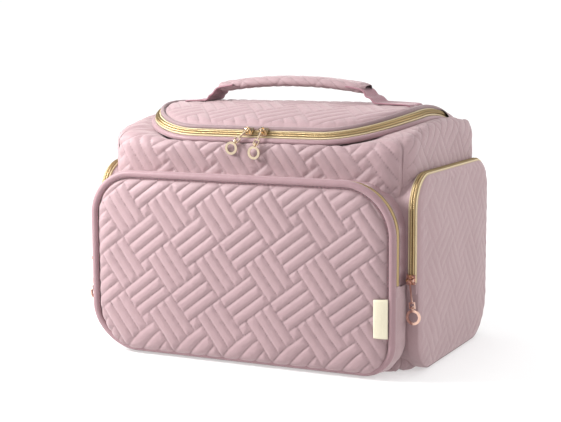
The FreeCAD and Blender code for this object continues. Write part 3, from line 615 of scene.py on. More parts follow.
def body_panels():
    """Four quilted panels of the case, each from seam to seam."""
    seams = [
        perimeter_share(SEAM, SEAM_FRONT),
        perimeter_share(SEAM, -SEAM_FRONT),
        perimeter_share(-SEAM, -SEAM_FRONT),
        perimeter_share(-SEAM, SEAM_FRONT),
    ]
    panels = (
        ("front_body_panel", seams[3] - 1, seams[0], 1.7, "front_wall"),
        ("right_body_panel", seams[0], seams[1], 0.9, "side_wall_right"),
        ("back_body_panel", seams[1], seams[2], 1.7, "back_wall"),
        ("left_body_panel", seams[2], seams[3], 0.9, "side_wall_left"),
    )
    for name, first, last, depth, node in panels:
        columns = 240 if node in ("front_wall", "back_wall") else 170
        share = np.linspace(first, last, columns) % 1.0
        grid = shell_grid(0.0, RIM_GROW, RIM_DROP, BASE_ROUND, share)
        place = arc_lengths(grid[60])
        place = place - place[-1] / 2
        climb = np.cumsum(np.linalg.norm(np.diff(grid[:, columns // 2], axis=0), axis=1))
        height = np.concatenate([[0], climb])
        across, up = np.meshgrid(place, height)
        edge = np.minimum(np.minimum(across - place[0], place[-1] - across), 40)
        fade = smooth_step(edge / 5) * smooth_step((height[-1] - up) / 5)
        rise = quilt(across, up)
        outward = normals_of(grid)
        middle = grid[grid.shape[0] // 2, columns // 2]
        if outward[grid.shape[0] // 2, columns // 2] @ (middle * (1, 1, 0)) < 0:
            outward = -outward
        crease = (1 - smooth_step(edge / 5)) * (1 - smooth_step((up - 180) / 25))
        if node in ("front_wall", "back_wall"):
            plump = -1.2 - 1.3 * np.exp(-((across / 85) ** 2)) * smooth_step((up - 165) / 15)
            plump = plump * smooth_step(edge / 14)
        else:
            plump = 2.0 * np.sin(math.pi * np.clip(up / height[-1], 0, 1)) * smooth_step(edge / 12)
        lift = depth * rise * fade + 0.9 * ripple(across, up, depth) * fade + plump - 1.5 * crease
        grid = grid + outward * lift[..., None]
        grid[..., 2] = np.maximum(grid[..., 2], 0.2)
        piece = grid_piece(name, grid, rise * fade + (1 - fade))
        finish_piece(piece, "quilted", "case", [node])


def seam_cords():
    """A raised stitched seam at each upright edge between panels."""
    for index, (x, y) in enumerate(
        ((SEAM, SEAM_FRONT), (SEAM, -SEAM_FRONT), (-SEAM, -SEAM_FRONT), (-SEAM, SEAM_FRONT))
    ):
        share = perimeter_share(x, y)
        line = shell_grid(0.0, RIM_GROW, RIM_DROP, BASE_ROUND, np.array([share]))[4:, 0]
        line = line[line[:, 2] < 196]
        tangent = directions(line)
        radial = np.array([x * 0.4, y, 0.0])
        radial /= np.linalg.norm(radial)
        side = np.cross(tangent, radial)
        side /= np.linalg.norm(side, axis=1, keepdims=True)
        up = np.cross(side, tangent)
        cord = sweep(f"seam_cord_{index}", line - up * 1.6, side, up, circle_section(0.85, 10))
        finish_piece(cord, "plain", "case")


def base():
    """The base: a flat panel."""
    outline, _ = rounded_outline(-HALF_WIDTH, HALF_WIDTH, -HALF_DEPTH, HALF_DEPTH, [BODY_CORNER] * 4, 3.0)
    rings = []
    for share in np.linspace(0.0, 1.0, 24):
        ring = outline * share * (HALF_WIDTH - BASE_ROUND) / HALF_WIDTH
        rings.append(np.concatenate([ring, np.full((len(ring), 1), 0.2)], 1))
    grid = np.array(rings)
    grid[:, :, 1] *= (HALF_DEPTH - BASE_ROUND) / HALF_DEPTH / ((HALF_WIDTH - BASE_ROUND) / HALF_WIDTH)
    piece = grid_piece("base_cloth", grid, wrap_columns=True, flip=True)
    finish_piece(piece, "plain", "case", ["base_panel"])


def lining():
    """The main compartment's lining, from the rim down the walls, and the padded floor over the board."""
    share = np.linspace(0, 1, 420, endpoint=False)
    grid = shell_grid(4.6, 1.6, 7.4, 3.0, share)
    grid = grid[::2]
    grid[..., 2] -= 3.5 * smooth_step((grid[..., 2] - 150) / 40)
    across, up = np.meshgrid(share * 900, grid[:, 0, 2])
    outward = normals_of(grid)
    grid = grid - outward * (0.35 * ripple(across, up, 3.0))[..., None]
    piece = grid_piece("main_lining_cloth", grid, wrap_columns=True, flip=True)
    finish_piece(piece, "lining", "case", ["main_lining"])
    low, high = corners("base_stiffener")
    floor = pillow(
        "floor_pad", (low[0], high[0], low[1], high[1]), [6.0] * 4, low[2] - 1.0, high[2] - low[2] + 2.2, "z"
    )
    finish_piece(floor, "lining", "case", ["base_stiffener"])


def pillow(name, limits, radii, start, thick, axis, step=3.0, puff=0.0):
    """A flat pad with rounded edges; its face lies in the two other axes, in X, Y, Z order."""
    left, right, low, high = limits
    outline, normals = rounded_outline(left, right, low, high, radii, step)
    middle = np.array([(left + right) / 2, (low + high) / 2])
    half = thick / 2
    rings = []
    for side in (1, -1):
        turns = np.linspace(0, 1, 16)[1:]
        for share in turns if side > 0 else turns[::-1]:
            swell = puff * (1 - share ** 2)
            ring = middle + (outline - normals * half - middle) * share
            rings.append((ring, side * (half + swell)))
        if side > 0:
            for angle in np.linspace(math.pi / 2, -math.pi / 2, 9)[1:-1]:
                rings.append((outline - normals * half * (1 - math.cos(angle)), half * math.sin(angle)))
    flat = np.array([ring for ring, _ in rings])
    depth = np.array([[level] * len(outline) for _, level in rings]) + start + half
    order = {"x": (2, 0, 1), "y": (0, 2, 1), "z": (0, 1, 2)}[axis]
    stacked = [flat[..., 0], flat[..., 1], depth]
    grid = np.stack([stacked[k] for k in order], -1)
    return grid_piece(name, grid, wrap_columns=True, flip=axis != "y")


def dividers():
    """Two padded dividers with bound edges."""
    for side in ("left", "right"):
        node = f"divider_{side}"
        low, high = corners(node)
        pad = pillow(
            node + "_pad", (low[1], high[1], low[2], high[2]), DIVIDER_CORNERS,
            low[0] + 0.4, high[0] - low[0] - 0.8, "x", puff=1.2,
        )
        finish_piece(pad, "divider", node, [node])
        outline, normals = rounded_outline(
            low[1] + 1, high[1] - 1, low[2] + 1, high[2] - 1, [radius - 1 for radius in DIVIDER_CORNERS], 2.0
        )
        centre = (low[0] + high[0]) / 2
        path = np.stack([np.full(len(outline), centre), outline[:, 0], outline[:, 1]], 1)
        sides = np.stack([np.zeros(len(outline)), normals[:, 0], normals[:, 1]], 1)
        ups = np.tile([1.0, 0.0, 0.0], (len(outline), 1))
        rim = circle_section(2.0, 10, 1.25)
        edge = sweep(node + "_binding", path - sides * 0.9, sides, ups, rim, closed=True)
        finish_piece(edge, "binding", node)


# ---------------------------------------------------------------- lid


def lid_half_width(y, grow):
    """Half the lid's width at a distance from the middle."""
    corner_y = -LID_FRONT + LID_FRONT_CORNER
    radius = LID_FRONT_CORNER + grow
    straight = LID_HALF_WIDTH - LID_FRONT_CORNER
    bend = straight + np.sqrt(np.maximum(radius ** 2 - np.minimum(y - corner_y, 0) ** 2, 0))
    back = LID_BACK - LID_BACK_CORNER
    inner = LID_BACK_CORNER + grow
    past = np.maximum(y - back, 0)
    back_bend = LID_HALF_WIDTH - LID_BACK_CORNER + np.sqrt(np.maximum(inner ** 2 - past ** 2, 0))
    return np.minimum(bend, back_bend)


def lid_rows(grow, back):
    """Distances from the middle at which the lid's rows lie, closer together round the front corners."""
    corner_y = -LID_FRONT + LID_FRONT_CORNER
    radius = LID_FRONT_CORNER + grow
    front = corner_y - radius * np.sin(np.linspace(math.pi / 2, 0, 62))
    rest = np.linspace(corner_y, back, 78)[1:]
    return np.concatenate([front, rest])


def lid_surface(grow, back, columns, level, rounding, crown=0.0):
    """A grid over the lid's outline; level is the rise above the zip line, falling off at the edges."""
    rows = lid_rows(grow, back)
    half = lid_half_width(rows, grow)
    t = np.linspace(-1, 1, columns)
    x = half[:, None] * t[None, :]
    y = np.repeat(rows[:, None], columns, axis=1)
    corner_y = -LID_FRONT + LID_FRONT_CORNER
    straight = LID_HALF_WIDTH - LID_FRONT_CORNER
    radius = LID_FRONT_CORNER + grow
    out_x = np.maximum(np.abs(x) - straight, 0)
    out_y = np.maximum(corner_y - y, 0)
    edge = radius - np.hypot(out_x, out_y)
    edge = np.minimum(edge, back + 2 - y)
    fall = 1 - np.clip(edge / rounding, 0, 1)
    z = vault(y) + level * np.sqrt(np.maximum(1 - fall ** 2, 0)) + crown * (1 - (x / LID_HALF_WIDTH) ** 2)
    return np.stack([x, y, z], -1), edge


def lid_panel():
    """The padded quilted lid, rounded down to its zip."""
    grid, edge = lid_surface(-4.0, LID_BACK, 200, 4.4, 11.0, crown=LID_CROWN)
    grid[..., 2] += 1.2
    rise = quilt(grid[..., 0], grid[..., 1] * 1.03 + 20)
    fade = smooth_step((edge - 1) / 5)
    lift = 1.25 * rise * fade + 0.7 * ripple(grid[..., 0], grid[..., 1], 1.3) * fade
    grid = grid + normals_up(grid) * lift[..., None]
    piece = grid_piece("lid_quilted_panel", grid, rise * fade + (1 - fade))
    finish_piece(piece, "quilted", "lid", ["lid_panel"])


def normals_up(grid):
    """Normals of a grid, turned to point upwards."""
    normal = normals_of(grid)
    return np.where(normal[..., 2:] < 0, -normal, normal)


def hinge_strip():
    """The cloth hinge: sewn on the lid's back edge, bent at the hinge line and sewn on the back panel."""
    profile = np.array([
        (78.0, 213.5), (80.5, 212.3), (83.0, 210.4), (85.0, 208.9), (HINGE_Y, HINGE_Z + 1.9),
        (88.8, HINGE_Z + 0.6), (91.2, HINGE_Z - 1.6), (93.5, HINGE_Z - 4.8), (94.8, HINGE_Z - 9.5),
    ])
    line = smooth_path(profile, 40)
    half = 124.0
    x = np.linspace(-half, half, 240)
    drop = 3.0 * smooth_step((np.abs(x) - 116) / 10)
    crown = LID_CROWN * (1 - (x / LID_HALF_WIDTH) ** 2)
    on_lid = 1 - smooth_step((line[:, 0] - 81) / 6)
    grid = np.empty((len(line), len(x), 3))
    grid[..., 0] = x[None, :]
    grid[..., 1] = line[:, :1]
    grid[..., 2] = line[:, 1:] + on_lid[:, None] * crown + 0.3 * np.sin(x / 3.1 + np.sin(x / 17)) - drop
    piece = grid_piece("hinge_cloth", grid)
    start = (0, HINGE_Y + 4, HINGE_Z)
    end = (0, HINGE_Y - 4, HINGE_Z)
    finish_piece(piece, "plain", blend=("case", "lid", start, end), replaces=["hinge_binding"])


def rim_strip(name, look, rows, keep, points, normals):
    """A strip along part of the lid's outline, from (reach outwards, rise above the zip's line) pairs."""
    grid = []
    for reach, rise in rows:
        flat = points[keep] + normals[keep] * reach
        level = vault(np.minimum(flat[:, 1], HINGE_Y)) + rise
        grid.append(np.concatenate([flat, level[:, None]], 1))
    piece = grid_piece(name, np.array(grid))
    finish_piece(piece, look, "case")
    return piece


def back_corners():
    """The facing under the back edge, and the folded cloth that covers each end of the lid's zip."""
    points, normals = lid_outline(0.0, 1.0)
    behind = points[:, 1] > 58
    facing = ((7.0, -8.0), (5.0, -5.2), (1.5, -3.4), (-4.0, -3.4), (-9.0, -4.2), (-10.0, -6.5))
    piece = rim_strip("back_rim_facing", "plain", facing, behind, points, normals)
    cover = (
        (8.5, -8.5), (7.6, -4.2), (6.2, -0.8), (4.4, 1.8), (2.2, 3.6), (0.0, 4.8), (-2.2, 5.2), (-3.6, 4.4),
        (-4.0, 2.0),
    )
    for side, sign in (("right", 1), ("left", -1)):
        corner = (points[:, 1] > ZIP_END - 26) & (points[:, 0] * sign > 110)
        rim_strip(f"zip_end_cover_{side}", "plain", cover, corner, points, normals)


def lid_inside():
    """Lining under the lid."""
    grid, _ = lid_surface(-3.4, LID_BACK, 120, 0.0, 8.0)
    grid[..., 2] -= 0.8
    piece = grid_piece("lid_lining_cloth", grid[::2, ::2], flip=True)
    finish_piece(piece, "lining", "lid", ["lid_lining"])


def mesh_pocket():
    """The net pocket under the lid: thin cords both ways, with a bound edge."""
    low, high = corners("lid_mesh_pocket")
    pitch = 4.0
    cord = 0.35
    lines = []
    for x in np.arange(low[0] + pitch, high[0] - 1, pitch):
        y = np.linspace(low[1], high[1], 26)
        lines.append((np.full(26, x), y, np.array([cord, 0.0])))
    for y in np.arange(low[1] + pitch, high[1] - 1, pitch):
        x = np.linspace(low[0], high[0], 26)
        lines.append((x, np.full(26, y), np.array([0.0, cord])))
    vertices = []
    faces = []
    for x, y, half in lines:
        sag = 1.8 + 1.6 * (1 - (x / high[0]) ** 2) * (1 - (y / high[1]) ** 2)
        for way in (-1, 1):
            vertices.append(np.stack([x + way * half[0], y + way * half[1], vault(y) - sag], 1))
        faces.append(grid_faces(2, 26, first=(len(vertices) - 2) * 26))
    net = mesh_from("lid_net_pocket", np.concatenate(vertices), np.concatenate(faces))
    finish_piece(net, "net", "lid", ["lid_mesh_pocket"])
    outline, normals = rounded_outline(low[0], high[0], low[1], high[1], [6.0] * 4, 2.0)
    path = np.concatenate([outline, (vault(outline[:, 1]) - 1.7)[:, None]], 1)
    sides = np.concatenate([normals, np.zeros((len(normals), 1))], 1)
    ups = np.tile([0.0, 0.0, 1.0], (len(path), 1))
    edge = sweep("lid_net_binding", path, sides, ups, circle_section(2.0, 10, 0.6), closed=True)
    finish_piece(edge, "binding", "lid")


def zip_frames(end):
    """The lid zip's centre line up to a distance back, with the tape's direction outwards and its normal."""
    points, normals = lid_outline(0.0, 1.0)
    keep_right = [k for k in range(len(points)) if points[k, 1] < end]
    half = len(points) // 2
    right = [k for k in keep_right if k < half]
    left = [k for k in keep_right if k >= half]
    order = right[::-1] + left[::-1]
    flat = points[order]
    out = normals[order]
    path = np.concatenate([flat, vault(flat[:, 1])[:, None]], 1)
    outward = np.concatenate([out, np.zeros((len(out), 1))], 1)
    upward = np.tile([0.0, 0.0, 1.0], (len(out), 1))
    along = outward * math.cos(ZIP_TILT) - upward * math.sin(ZIP_TILT)
    off = outward * math.sin(ZIP_TILT) + upward * math.cos(ZIP_TILT)
    return resample(path, 1.5, along, off)


def lid_zip():
    """Both tapes, both rows of teeth and the welt, each half on its own body."""
    longer = zip_frames(LID_BACK - 0.5)
    path, along, off = zip_frames(ZIP_END)
    for half, sign, body in (("upper", -1, "lid"), ("lower", 1, "case")):
        section = [(sign * a, b) for a, b in TAPE_SECTION]
        tape = sweep(f"lid_zip_{half}_cloth", *longer, section, flip=sign > 0)
        finish_piece(tape, "tape", body, [f"lid_zip_{half}_tape"])
        line = path + along * sign * 3.3 + off * 0.95
        edging = sweep(f"lid_zip_{half}_edging", line, along, off, circle_section(0.5, 8))
        finish_piece(edging, "edging", body)
        teeth = coil(f"lid_zip_{half}_coil", path + along * sign * 1.15 + off * 1.7, along, off)
        finish_piece(teeth, "coil", body, [f"lid_zip_{half}_teeth"])
    welt = sweep("lid_welt", path + along * 6.9 - off * 0.4, along, off, circle_section(2.7, 12))
    finish_piece(welt, "binding", "case", ["lid_zip_welt"])
    path, along, off = longer
    inner = sweep("lid_edge_binding", path - along * 6.3 + off * 0.2, along, off, circle_section(2.2, 12))
    finish_piece(inner, "quilted", "lid")


# ---------------------------------------------------------------- front pocket


def corner_reach(z, edge, radius, sign):
    """How far a corner's curve pulls a face's side in at each height."""
    past = np.clip(sign * (z - edge) + radius, 0, radius)
    return radius - np.sqrt(radius ** 2 - past ** 2)


def rounded_face(left, right, low, high, radii, columns):
    """A flat grid over a rounded face, with each point's distance from the edge."""
    low_right, high_right, high_left, low_left = radii
    tall = max(low_left, low_right)
    short = max(high_left, high_right)
    low_turn = np.sin(np.linspace(math.pi / 2, 0, int(tall / FACE_STEP) + 10))
    high_turn = np.sin(np.linspace(0, math.pi / 2, int(short / FACE_STEP) + 10))
    middle = np.arange(low + tall, high - short, FACE_STEP)[1:]
    rows = np.concatenate([low + tall - tall * low_turn, middle, high - short + short * high_turn])
    first = left + corner_reach(rows, low, low_left, -1) + corner_reach(rows, high, high_left, 1)
    last = right - corner_reach(rows, low, low_right, -1) - corner_reach(rows, high, high_right, 1)
    t = np.linspace(0, 1, columns)
    x = first[:, None] + (last - first)[:, None] * t[None, :]
    z = np.repeat(rows[:, None], columns, axis=1)
    centre_x = (left + right) / 2
    centre_z = (low + high) / 2
    upper = z > centre_z
    rightward = x > centre_x
    above = np.where(rightward, high_right, high_left)
    below = np.where(rightward, low_right, low_left)
    radius = np.where(upper, above, below)
    in_x = np.abs(x - centre_x) - ((right - left) / 2 - radius)
    in_z = np.abs(z - centre_z) - ((high - low) / 2 - radius)
    outside = np.hypot(np.maximum(in_x, 0), np.maximum(in_z, 0)) + np.minimum(np.maximum(in_x, in_z), 0)
    return x, z, np.maximum(radius - outside, 0)


def front_cover():
    """The quilted face of the front pocket, puffed up between its piping."""
    inset = 4.9
    x, z, edge = rounded_face(
        inset - FRONT_HALF, FRONT_HALF - inset, FRONT_LOW + inset, FRONT_TOP - inset,
        [radius - inset for radius in FRONT_CORNERS], 240,
    )
    rise = quilt(x, z)
    fade = smooth_step((edge + 0.5) / 4)
    belly = 1 - smooth_step((z - 8) / 42)
    swell = 6.2 * np.sqrt(1 - (1 - np.clip((edge - 0.5) / 17, 0, 1)) ** 2) + 1.2 * smooth_step(edge / 80)
    depth = PIPING_DEPTH - 2.6 + swell + 2.2 * rise * fade + 0.8 * ripple(x, z, 0.4) * smooth_step(edge / 25)
    hang = 4.2 * belly * (1 - smooth_step(edge / 16))
    low = np.maximum(z - hang, 0.8)
    grid = np.stack([x, -depth + 2.0 * belly * (1 - smooth_step(edge / 6)), low], -1)
    piece = grid_piece("front_quilted_cover", grid, rise * fade + (1 - fade))
    finish_piece(piece, "quilted", blend=front_blend(), replaces=["front_flap_panel"])


def front_ring_frames(grow):
    """The front pocket's outline as a closed path, with its outward directions."""
    outline, normals = front_outline(grow)
    path = np.stack([outline[:, 0], np.zeros(len(outline)), outline[:, 1]], 1)
    outward = np.stack([normals[:, 0], np.zeros(len(normals)), normals[:, 1]], 1)
    return path, outward


def front_piping():
    """Rolled binding round the front cover, and the stitches that hold it."""
    path, outward = front_ring_frames(-1.9)
    forward = np.tile([0.0, -1.0, 0.0], (len(path), 1))
    tuck = 1 - smooth_step((path[:, 2] - 2) / 38)
    middle = path + forward * (PIPING_DEPTH - 3.0 * tuck)[:, None] - outward * (1.6 * tuck)[:, None]
    cord = sweep("front_piping_cord", middle, outward, forward, circle_section(3.3, 16, 0.95), closed=True)
    finish_piece(cord, "binding", blend=front_blend(), replaces=["front_piping_upper", "front_piping_lower"])
    path, outward = front_ring_frames(-5.6)
    keep = path[:, 2] > 34
    first = int(np.argmax(keep & ~np.roll(keep, 1)))
    line = np.roll(path, -first, axis=0)[:keep.sum()] + np.array([0.0, -PIPING_DEPTH - 1.4, 0.0])
    outward = np.roll(outward, -first, axis=0)[:keep.sum()]
    forward = np.tile([0.0, -1.0, 0.0], (len(line), 1))
    thread = stitches("front_piping_stitches", line, forward, outward)
    finish_piece(thread, "thread", blend=front_blend())


def band(name, look, path, outward, first, last, bulge, body, replaces=(), axis=(0, -1, 0)):
    """A strip of cloth facing outwards, between two distances along an axis."""
    axis = np.array(axis, float)
    shares = np.linspace(0, 1, 13)
    puff = np.sin(shares * math.pi)
    along = np.concatenate([[0], np.cumsum(np.linalg.norm(np.diff(path, axis=0), axis=1))])
    tucks = 1 + 0.3 * np.sin(along / 2.7 + 2 * np.sin(along / 19)) * np.sin(along / 13)
    grid = (
        path[:, None, :]
        + axis * (first + (last - first) * shares)[None, :, None]
        + outward[:, None, :] * (tucks * bulge)[:, None, None] * puff[None, :, None]
    )
    piece = grid_piece(name, grid)
    finish_piece(piece, look, body, replaces)
    return piece


def upper_part(path, outward, sign=1):
    """The stretch of a closed outline above or below the fold, as an open path."""
    above = path[:, 2] > FOLD + 0.6 if sign > 0 else path[:, 2] < FOLD - 0.2
    start = int(np.argmax(above & ~np.roll(above, 1)))
    path = np.roll(path, -start, axis=0)
    outward = np.roll(outward, -start, axis=0)
    count = int(above.sum())
    return path[:count], outward[:count]


def front_sides():
    """Gusset, lower band and zip of the front pocket."""
    middle = sum(FRONT_ZIP) / 2
    path, outward = front_ring_frames(-0.8)
    closed = np.vstack([path, path[:1]])
    closed_out = np.vstack([outward, outward[:1]])
    inner_edge = middle - TAPE_REACH + 0.4
    # The gusset wears the darker rose binding cloth as painted shade, for the shade between the front and
    # side pockets.
    band("front_gusset_cloth", "binding", closed, closed_out, HALF_DEPTH - 2, inner_edge, -2.2, "case",
         ["front_pocket_gusset"])
    low_path, low_out = upper_part(path, outward, -1)
    bulge = 0.3 + 1.6 * smooth_step((FOLD - low_path[:, 2]) / 16)
    band("front_pouch_side", "plain", low_path, low_out, HALF_DEPTH - 2, PIPING_DEPTH - 1, bulge, "case",
         ["front_pocket_pouch"])
    top_path, top_out = upper_part(path, outward)
    band("front_flap_side", "plain", top_path, top_out, middle + TAPE_REACH - 0.4, PIPING_DEPTH - 1, 0.3,
         "front_flap")
    zip_band("front_zip", top_path - top_out * 1.8, top_out, (0, -1, 0), FRONT_ZIP, "front_flap",
             "front_zip_{}_tape", "front_zip_{}_teeth")


def zip_band(name, path, outward, axis, limits, flap, tape_node, teeth_node=None):
    """A zip along an outline: the inner half on the case and the outer half on the flap."""
    axis_row = np.tile(np.array(axis, float), (len(path), 1))
    middle = (limits[0] + limits[1]) / 2
    for half, sign, body in (("inner", -1, "case"), ("outer", 1, flap)):
        section = [(middle + sign * a, b) for a, b in TAPE_SECTION]
        tape = sweep(f"{name}_{half}_cloth", path, axis_row, outward, section)
        finish_piece(tape, "tape", body, [tape_node.format(half)])
        line = path + axis_row * (middle + sign * 3.1) + outward * 0.95
        edging = sweep(f"{name}_{half}_edging", line, axis_row, outward, circle_section(0.45, 8))
        finish_piece(edging, "edging", body)
        line = path + axis_row * (middle + sign * 1.15) + outward * 1.5
        teeth = coil(f"{name}_{half}_coil", line, axis_row, outward)
        finish_piece(teeth, "coil", body, [teeth_node.format(half)] if teeth_node else ())


def zip_tabs():
    """A folded tab of plain cloth over each end of the pocket zips."""
    middle = sum(FRONT_ZIP) / 2
    for side, sign in (("left", -1), ("right", 1)):
        face = sign * (FRONT_HALF - 1.6)
        tab = pillow(
            f"front_zip_tab_{side}", (-middle - 4.6, -middle + 4.6, FOLD - 9, FOLD + 1.2), [2.0] * 4,
            min(face, face + sign * 1.8), 1.8, "x", step=0.8,
        )
        finish_piece(tab, "plain", "case")
    middle = sum(SIDE_ZIP) / 2
    for name, sign, face in (
        ("left_front", -1, SIDE_LOW[1]), ("left_back", -1, SIDE_HIGH[1]),
        ("right_front", 1, SIDE_LOW[1]), ("right_back", 1, SIDE_HIGH[1]),
    ):
        way = -1 if face < 0 else 1
        ends = sorted((sign * (middle - 4.6), sign * (middle + 4.6)))
        tab = pillow(
            f"side_zip_tab_{name}", (ends[0], ends[1], FOLD - 9, FOLD + 1.2), [2.0] * 4,
            min(face, face + way * 1.5), 1.5, "y", step=0.8,
        )
        finish_piece(tab, "plain", "case")


# ---------------------------------------------------------------- side pockets


def side_pocket(side, sign):
    """One side pocket: quilted face, gusset, lower band and zip."""
    flap = f"side_flap_{side}"
    outline, normals = side_outline()
    path = np.stack([np.zeros(len(outline)), outline[:, 0], outline[:, 1]], 1)
    outward = np.stack([np.zeros(len(normals)), normals[:, 0], normals[:, 1]], 1)
    axis = (sign, 0, 0)
    closed = np.vstack([path, path[:1]])
    closed_out = np.vstack([outward, outward[:1]])
    middle = sum(SIDE_ZIP) / 2
    inner_edge = middle - TAPE_REACH + 0.4
    band(f"side_gusset_cloth_{side}", "plain", closed, closed_out, HALF_WIDTH - 14, inner_edge, -1.5, "case",
         [f"side_gusset_{side}"], axis=axis)
    low_path, low_out = upper_part(path, outward, -1)
    band(f"side_pouch_band_{side}", "plain", low_path, low_out, middle - TAPE_REACH, SIDE_ZIP[1] + 0.5, 0.3,
         "case", [f"side_pouch_{side}"], axis=axis)
    top_path, top_out = upper_part(path, outward)
    zip_band(f"side_zip_{side}", top_path, top_out, axis, SIDE_ZIP, flap, "side_zip_{}_" + side)
    side_face(side, sign, flap)


def side_face(side, sign, flap):
    """The side pocket's quilted face."""
    y, z, edge = rounded_face(SIDE_LOW[1], SIDE_HIGH[1], SIDE_LOW[2], SIDE_HIGH[2], SIDE_CORNERS, 160)
    rise = quilt(y, z)
    fade = smooth_step((edge - 2.5) / 5)
    roll = np.sqrt(1 - (1 - np.clip(edge / 5, 0, 1)) ** 2)
    gather = np.sin(z / 1.9 + 2.5 * np.sin(y / 9)) * np.sin(y / 2.3) * smooth_step(edge / 3)
    pleats = 0.35 * gather * (1 - smooth_step(edge / 16))
    uneven = 0.9 * ripple(y, z, 2.0) * smooth_step(edge / 25)
    swell = 2.6 * roll + 2.4 * smooth_step(edge / 45) + uneven + pleats
    reach = SIDE_ZIP[1] - 0.8 + swell + 0.75 * rise * fade
    grid = np.stack([sign * reach, y, z], -1)
    # painted groove shade, weaker on this flatter face
    faint = 1 - 0.3 * (1 - rise) * fade
    piece = grid_piece(f"side_quilted_face_{side}", grid, faint, flip=sign > 0)
    fold = SIDE_HIGH[0]
    blend = ("case", flap, (sign * fold, 0, FOLD - 5), (sign * fold, 0, FOLD + 5))
    finish_piece(piece, "quilted", blend=blend, replaces=[flap])


# ---------------------------------------------------------------- handle and tag


def grip_section(count):
    """The grip's flattened cross-section: points to the side and upwards, and the distance round it."""
    angle = np.arange(count) / count * 2 * math.pi
    wide = 11.2
    thick = 4.4
    side = wide * np.sign(np.cos(angle)) * np.abs(np.cos(angle)) ** 0.75
    up = thick * np.sign(np.sin(angle)) * np.abs(np.sin(angle)) ** 0.8
    girth = np.cumsum(np.hypot(np.diff(side, append=side[0]), np.diff(up, append=up[0])))
    return side, up, girth


def grip():
    """The quilted cover of the padded grip, slightly arched and tapered at its ends."""
    low, high = corners("handle_grip")
    middle = (low[0] + high[0]) / 2
    x = np.linspace(low[0], high[0], 150)
    t = (x - middle) / ((high[0] - low[0]) / 2)
    path = np.stack([x, np.zeros_like(x), high[2] - GRIP_HALF - GRIP_SAG * t ** 2], 1)
    sides = np.tile([0.0, 1.0, 0.0], (len(x), 1))
    ups = np.cross(directions(path), sides)
    section_side, section_up, girth = grip_section(44)
    along, round_it = np.meshgrid(x, girth, indexing="ij")
    rise = quilt(along, round_it, rib=8.0)
    taper = 1 - 0.25 * np.clip((np.abs(t) - 0.92) / 0.08, 0, 1) ** 2
    lift = 0.94 + 0.24 * rise
    grid = (
        path[:, None, :]
        + sides[:, None, :] * (section_side[None, :] * taper[:, None] * (0.98 + 0.07 * rise))[..., None]
        + ups[:, None, :] * (section_up[None, :] * taper[:, None] * lift)[..., None]
    )
    cover = grid_piece("grip_cover", grid, rise, wrap_columns=True)
    finish_piece(cover, "quilted", "handle", ["handle_grip"])


def handle():
    """The grip and its webbing, which bends down to the lid at each end."""
    grip()
    low, high = corners("handle_grip")
    end_height = high[2] - GRIP_HALF - GRIP_SAG
    strap("left", low[0], corners("handle_foot_left")[0][0], end_height)
    strap("right", high[0], corners("handle_foot_right")[1][0], end_height)


def lid_height(x):
    """Height of the lid's padded top along the middle of its depth."""
    return float(vault(0.0)) + 5.9 + LID_CROWN * (1 - (x / LID_HALF_WIDTH) ** 2)


def strap(side, end, foot, grip_height):
    """Webbing from the foot sewn on the lid up into the grip, as one bent strip that widens downwards."""
    sign = -1 if end < 0 else 1
    steep = 9 if sign < 0 else 12
    bend = end + sign * steep
    knots = np.array([
        (foot, lid_height(foot) - 1.5), (foot - sign * 3, lid_height(foot) + 0.6),
        (bend + sign * 6, lid_height(bend) + 0.9), (bend, lid_height(bend) + 1.6),
        (bend - sign * 0.35 * steep, lid_height(bend) + 5.5), (end + sign * 3, grip_height - 6.5),
        (end - sign * 1, grip_height - 1.5), (end - sign * 9, grip_height + 0.6),
        (end - sign * 18, grip_height + 2),
    ])
    line = smooth_path(knots, 110)
    path = np.stack([line[:, 0], np.zeros(len(line)), line[:, 1]], 1)
    sides = np.tile([0.0, 1.0, 0.0], (len(path), 1))
    tangent = directions(path)
    ups = np.cross(tangent, sides) * sign
    rise = smooth_step((path[:, 2] - lid_height(bend) - 1) / (grip_height - lid_height(bend)))
    half = 17.0 - 3.4 * rise
    across = np.concatenate([np.linspace(-1, 1, 15), np.linspace(1, -1, 15)])
    through = np.concatenate([np.full(15, 0.75), np.full(15, -0.75)])
    cupped = 0.9 * across ** 2
    grid = (
        path[:, None, :]
        + sides[:, None, :] * (half[:, None] * across[None, :])[..., None]
        + ups[:, None, :] * (through - cupped * 0.6)[None, :, None]
    )
    piece = grid_piece(f"handle_webbing_{side}", grid, wrap_columns=True)
    low = (0, 0, lid_height(bend) + 1.5)
    high = (0, 0, lid_height(bend) + 10)
    replaced = [f"handle_riser_{side}", f"handle_foot_{side}"]
    finish_piece(piece, "webbing", blend=("lid", "handle", low, high), replaces=replaced)


def smooth_path(knots, count):
    """A Catmull-Rom curve through knots."""
    padded_knots = np.vstack([2 * knots[0] - knots[1], knots, 2 * knots[-1] - knots[-2]])
    spans = len(knots) - 1
    result = []
    for value in np.linspace(0, spans - 1e-9, count):
        k = int(value)
        t = value - k
        a, b, c, d = padded_knots[k:k + 4]
        result.append(0.5 * (2 * b + (c - a) * t + (2 * a - 5 * b + 4 * c - d) * t ** 2
                             + (3 * b - a - 3 * c + d) * t ** 3))
    return np.array(result)


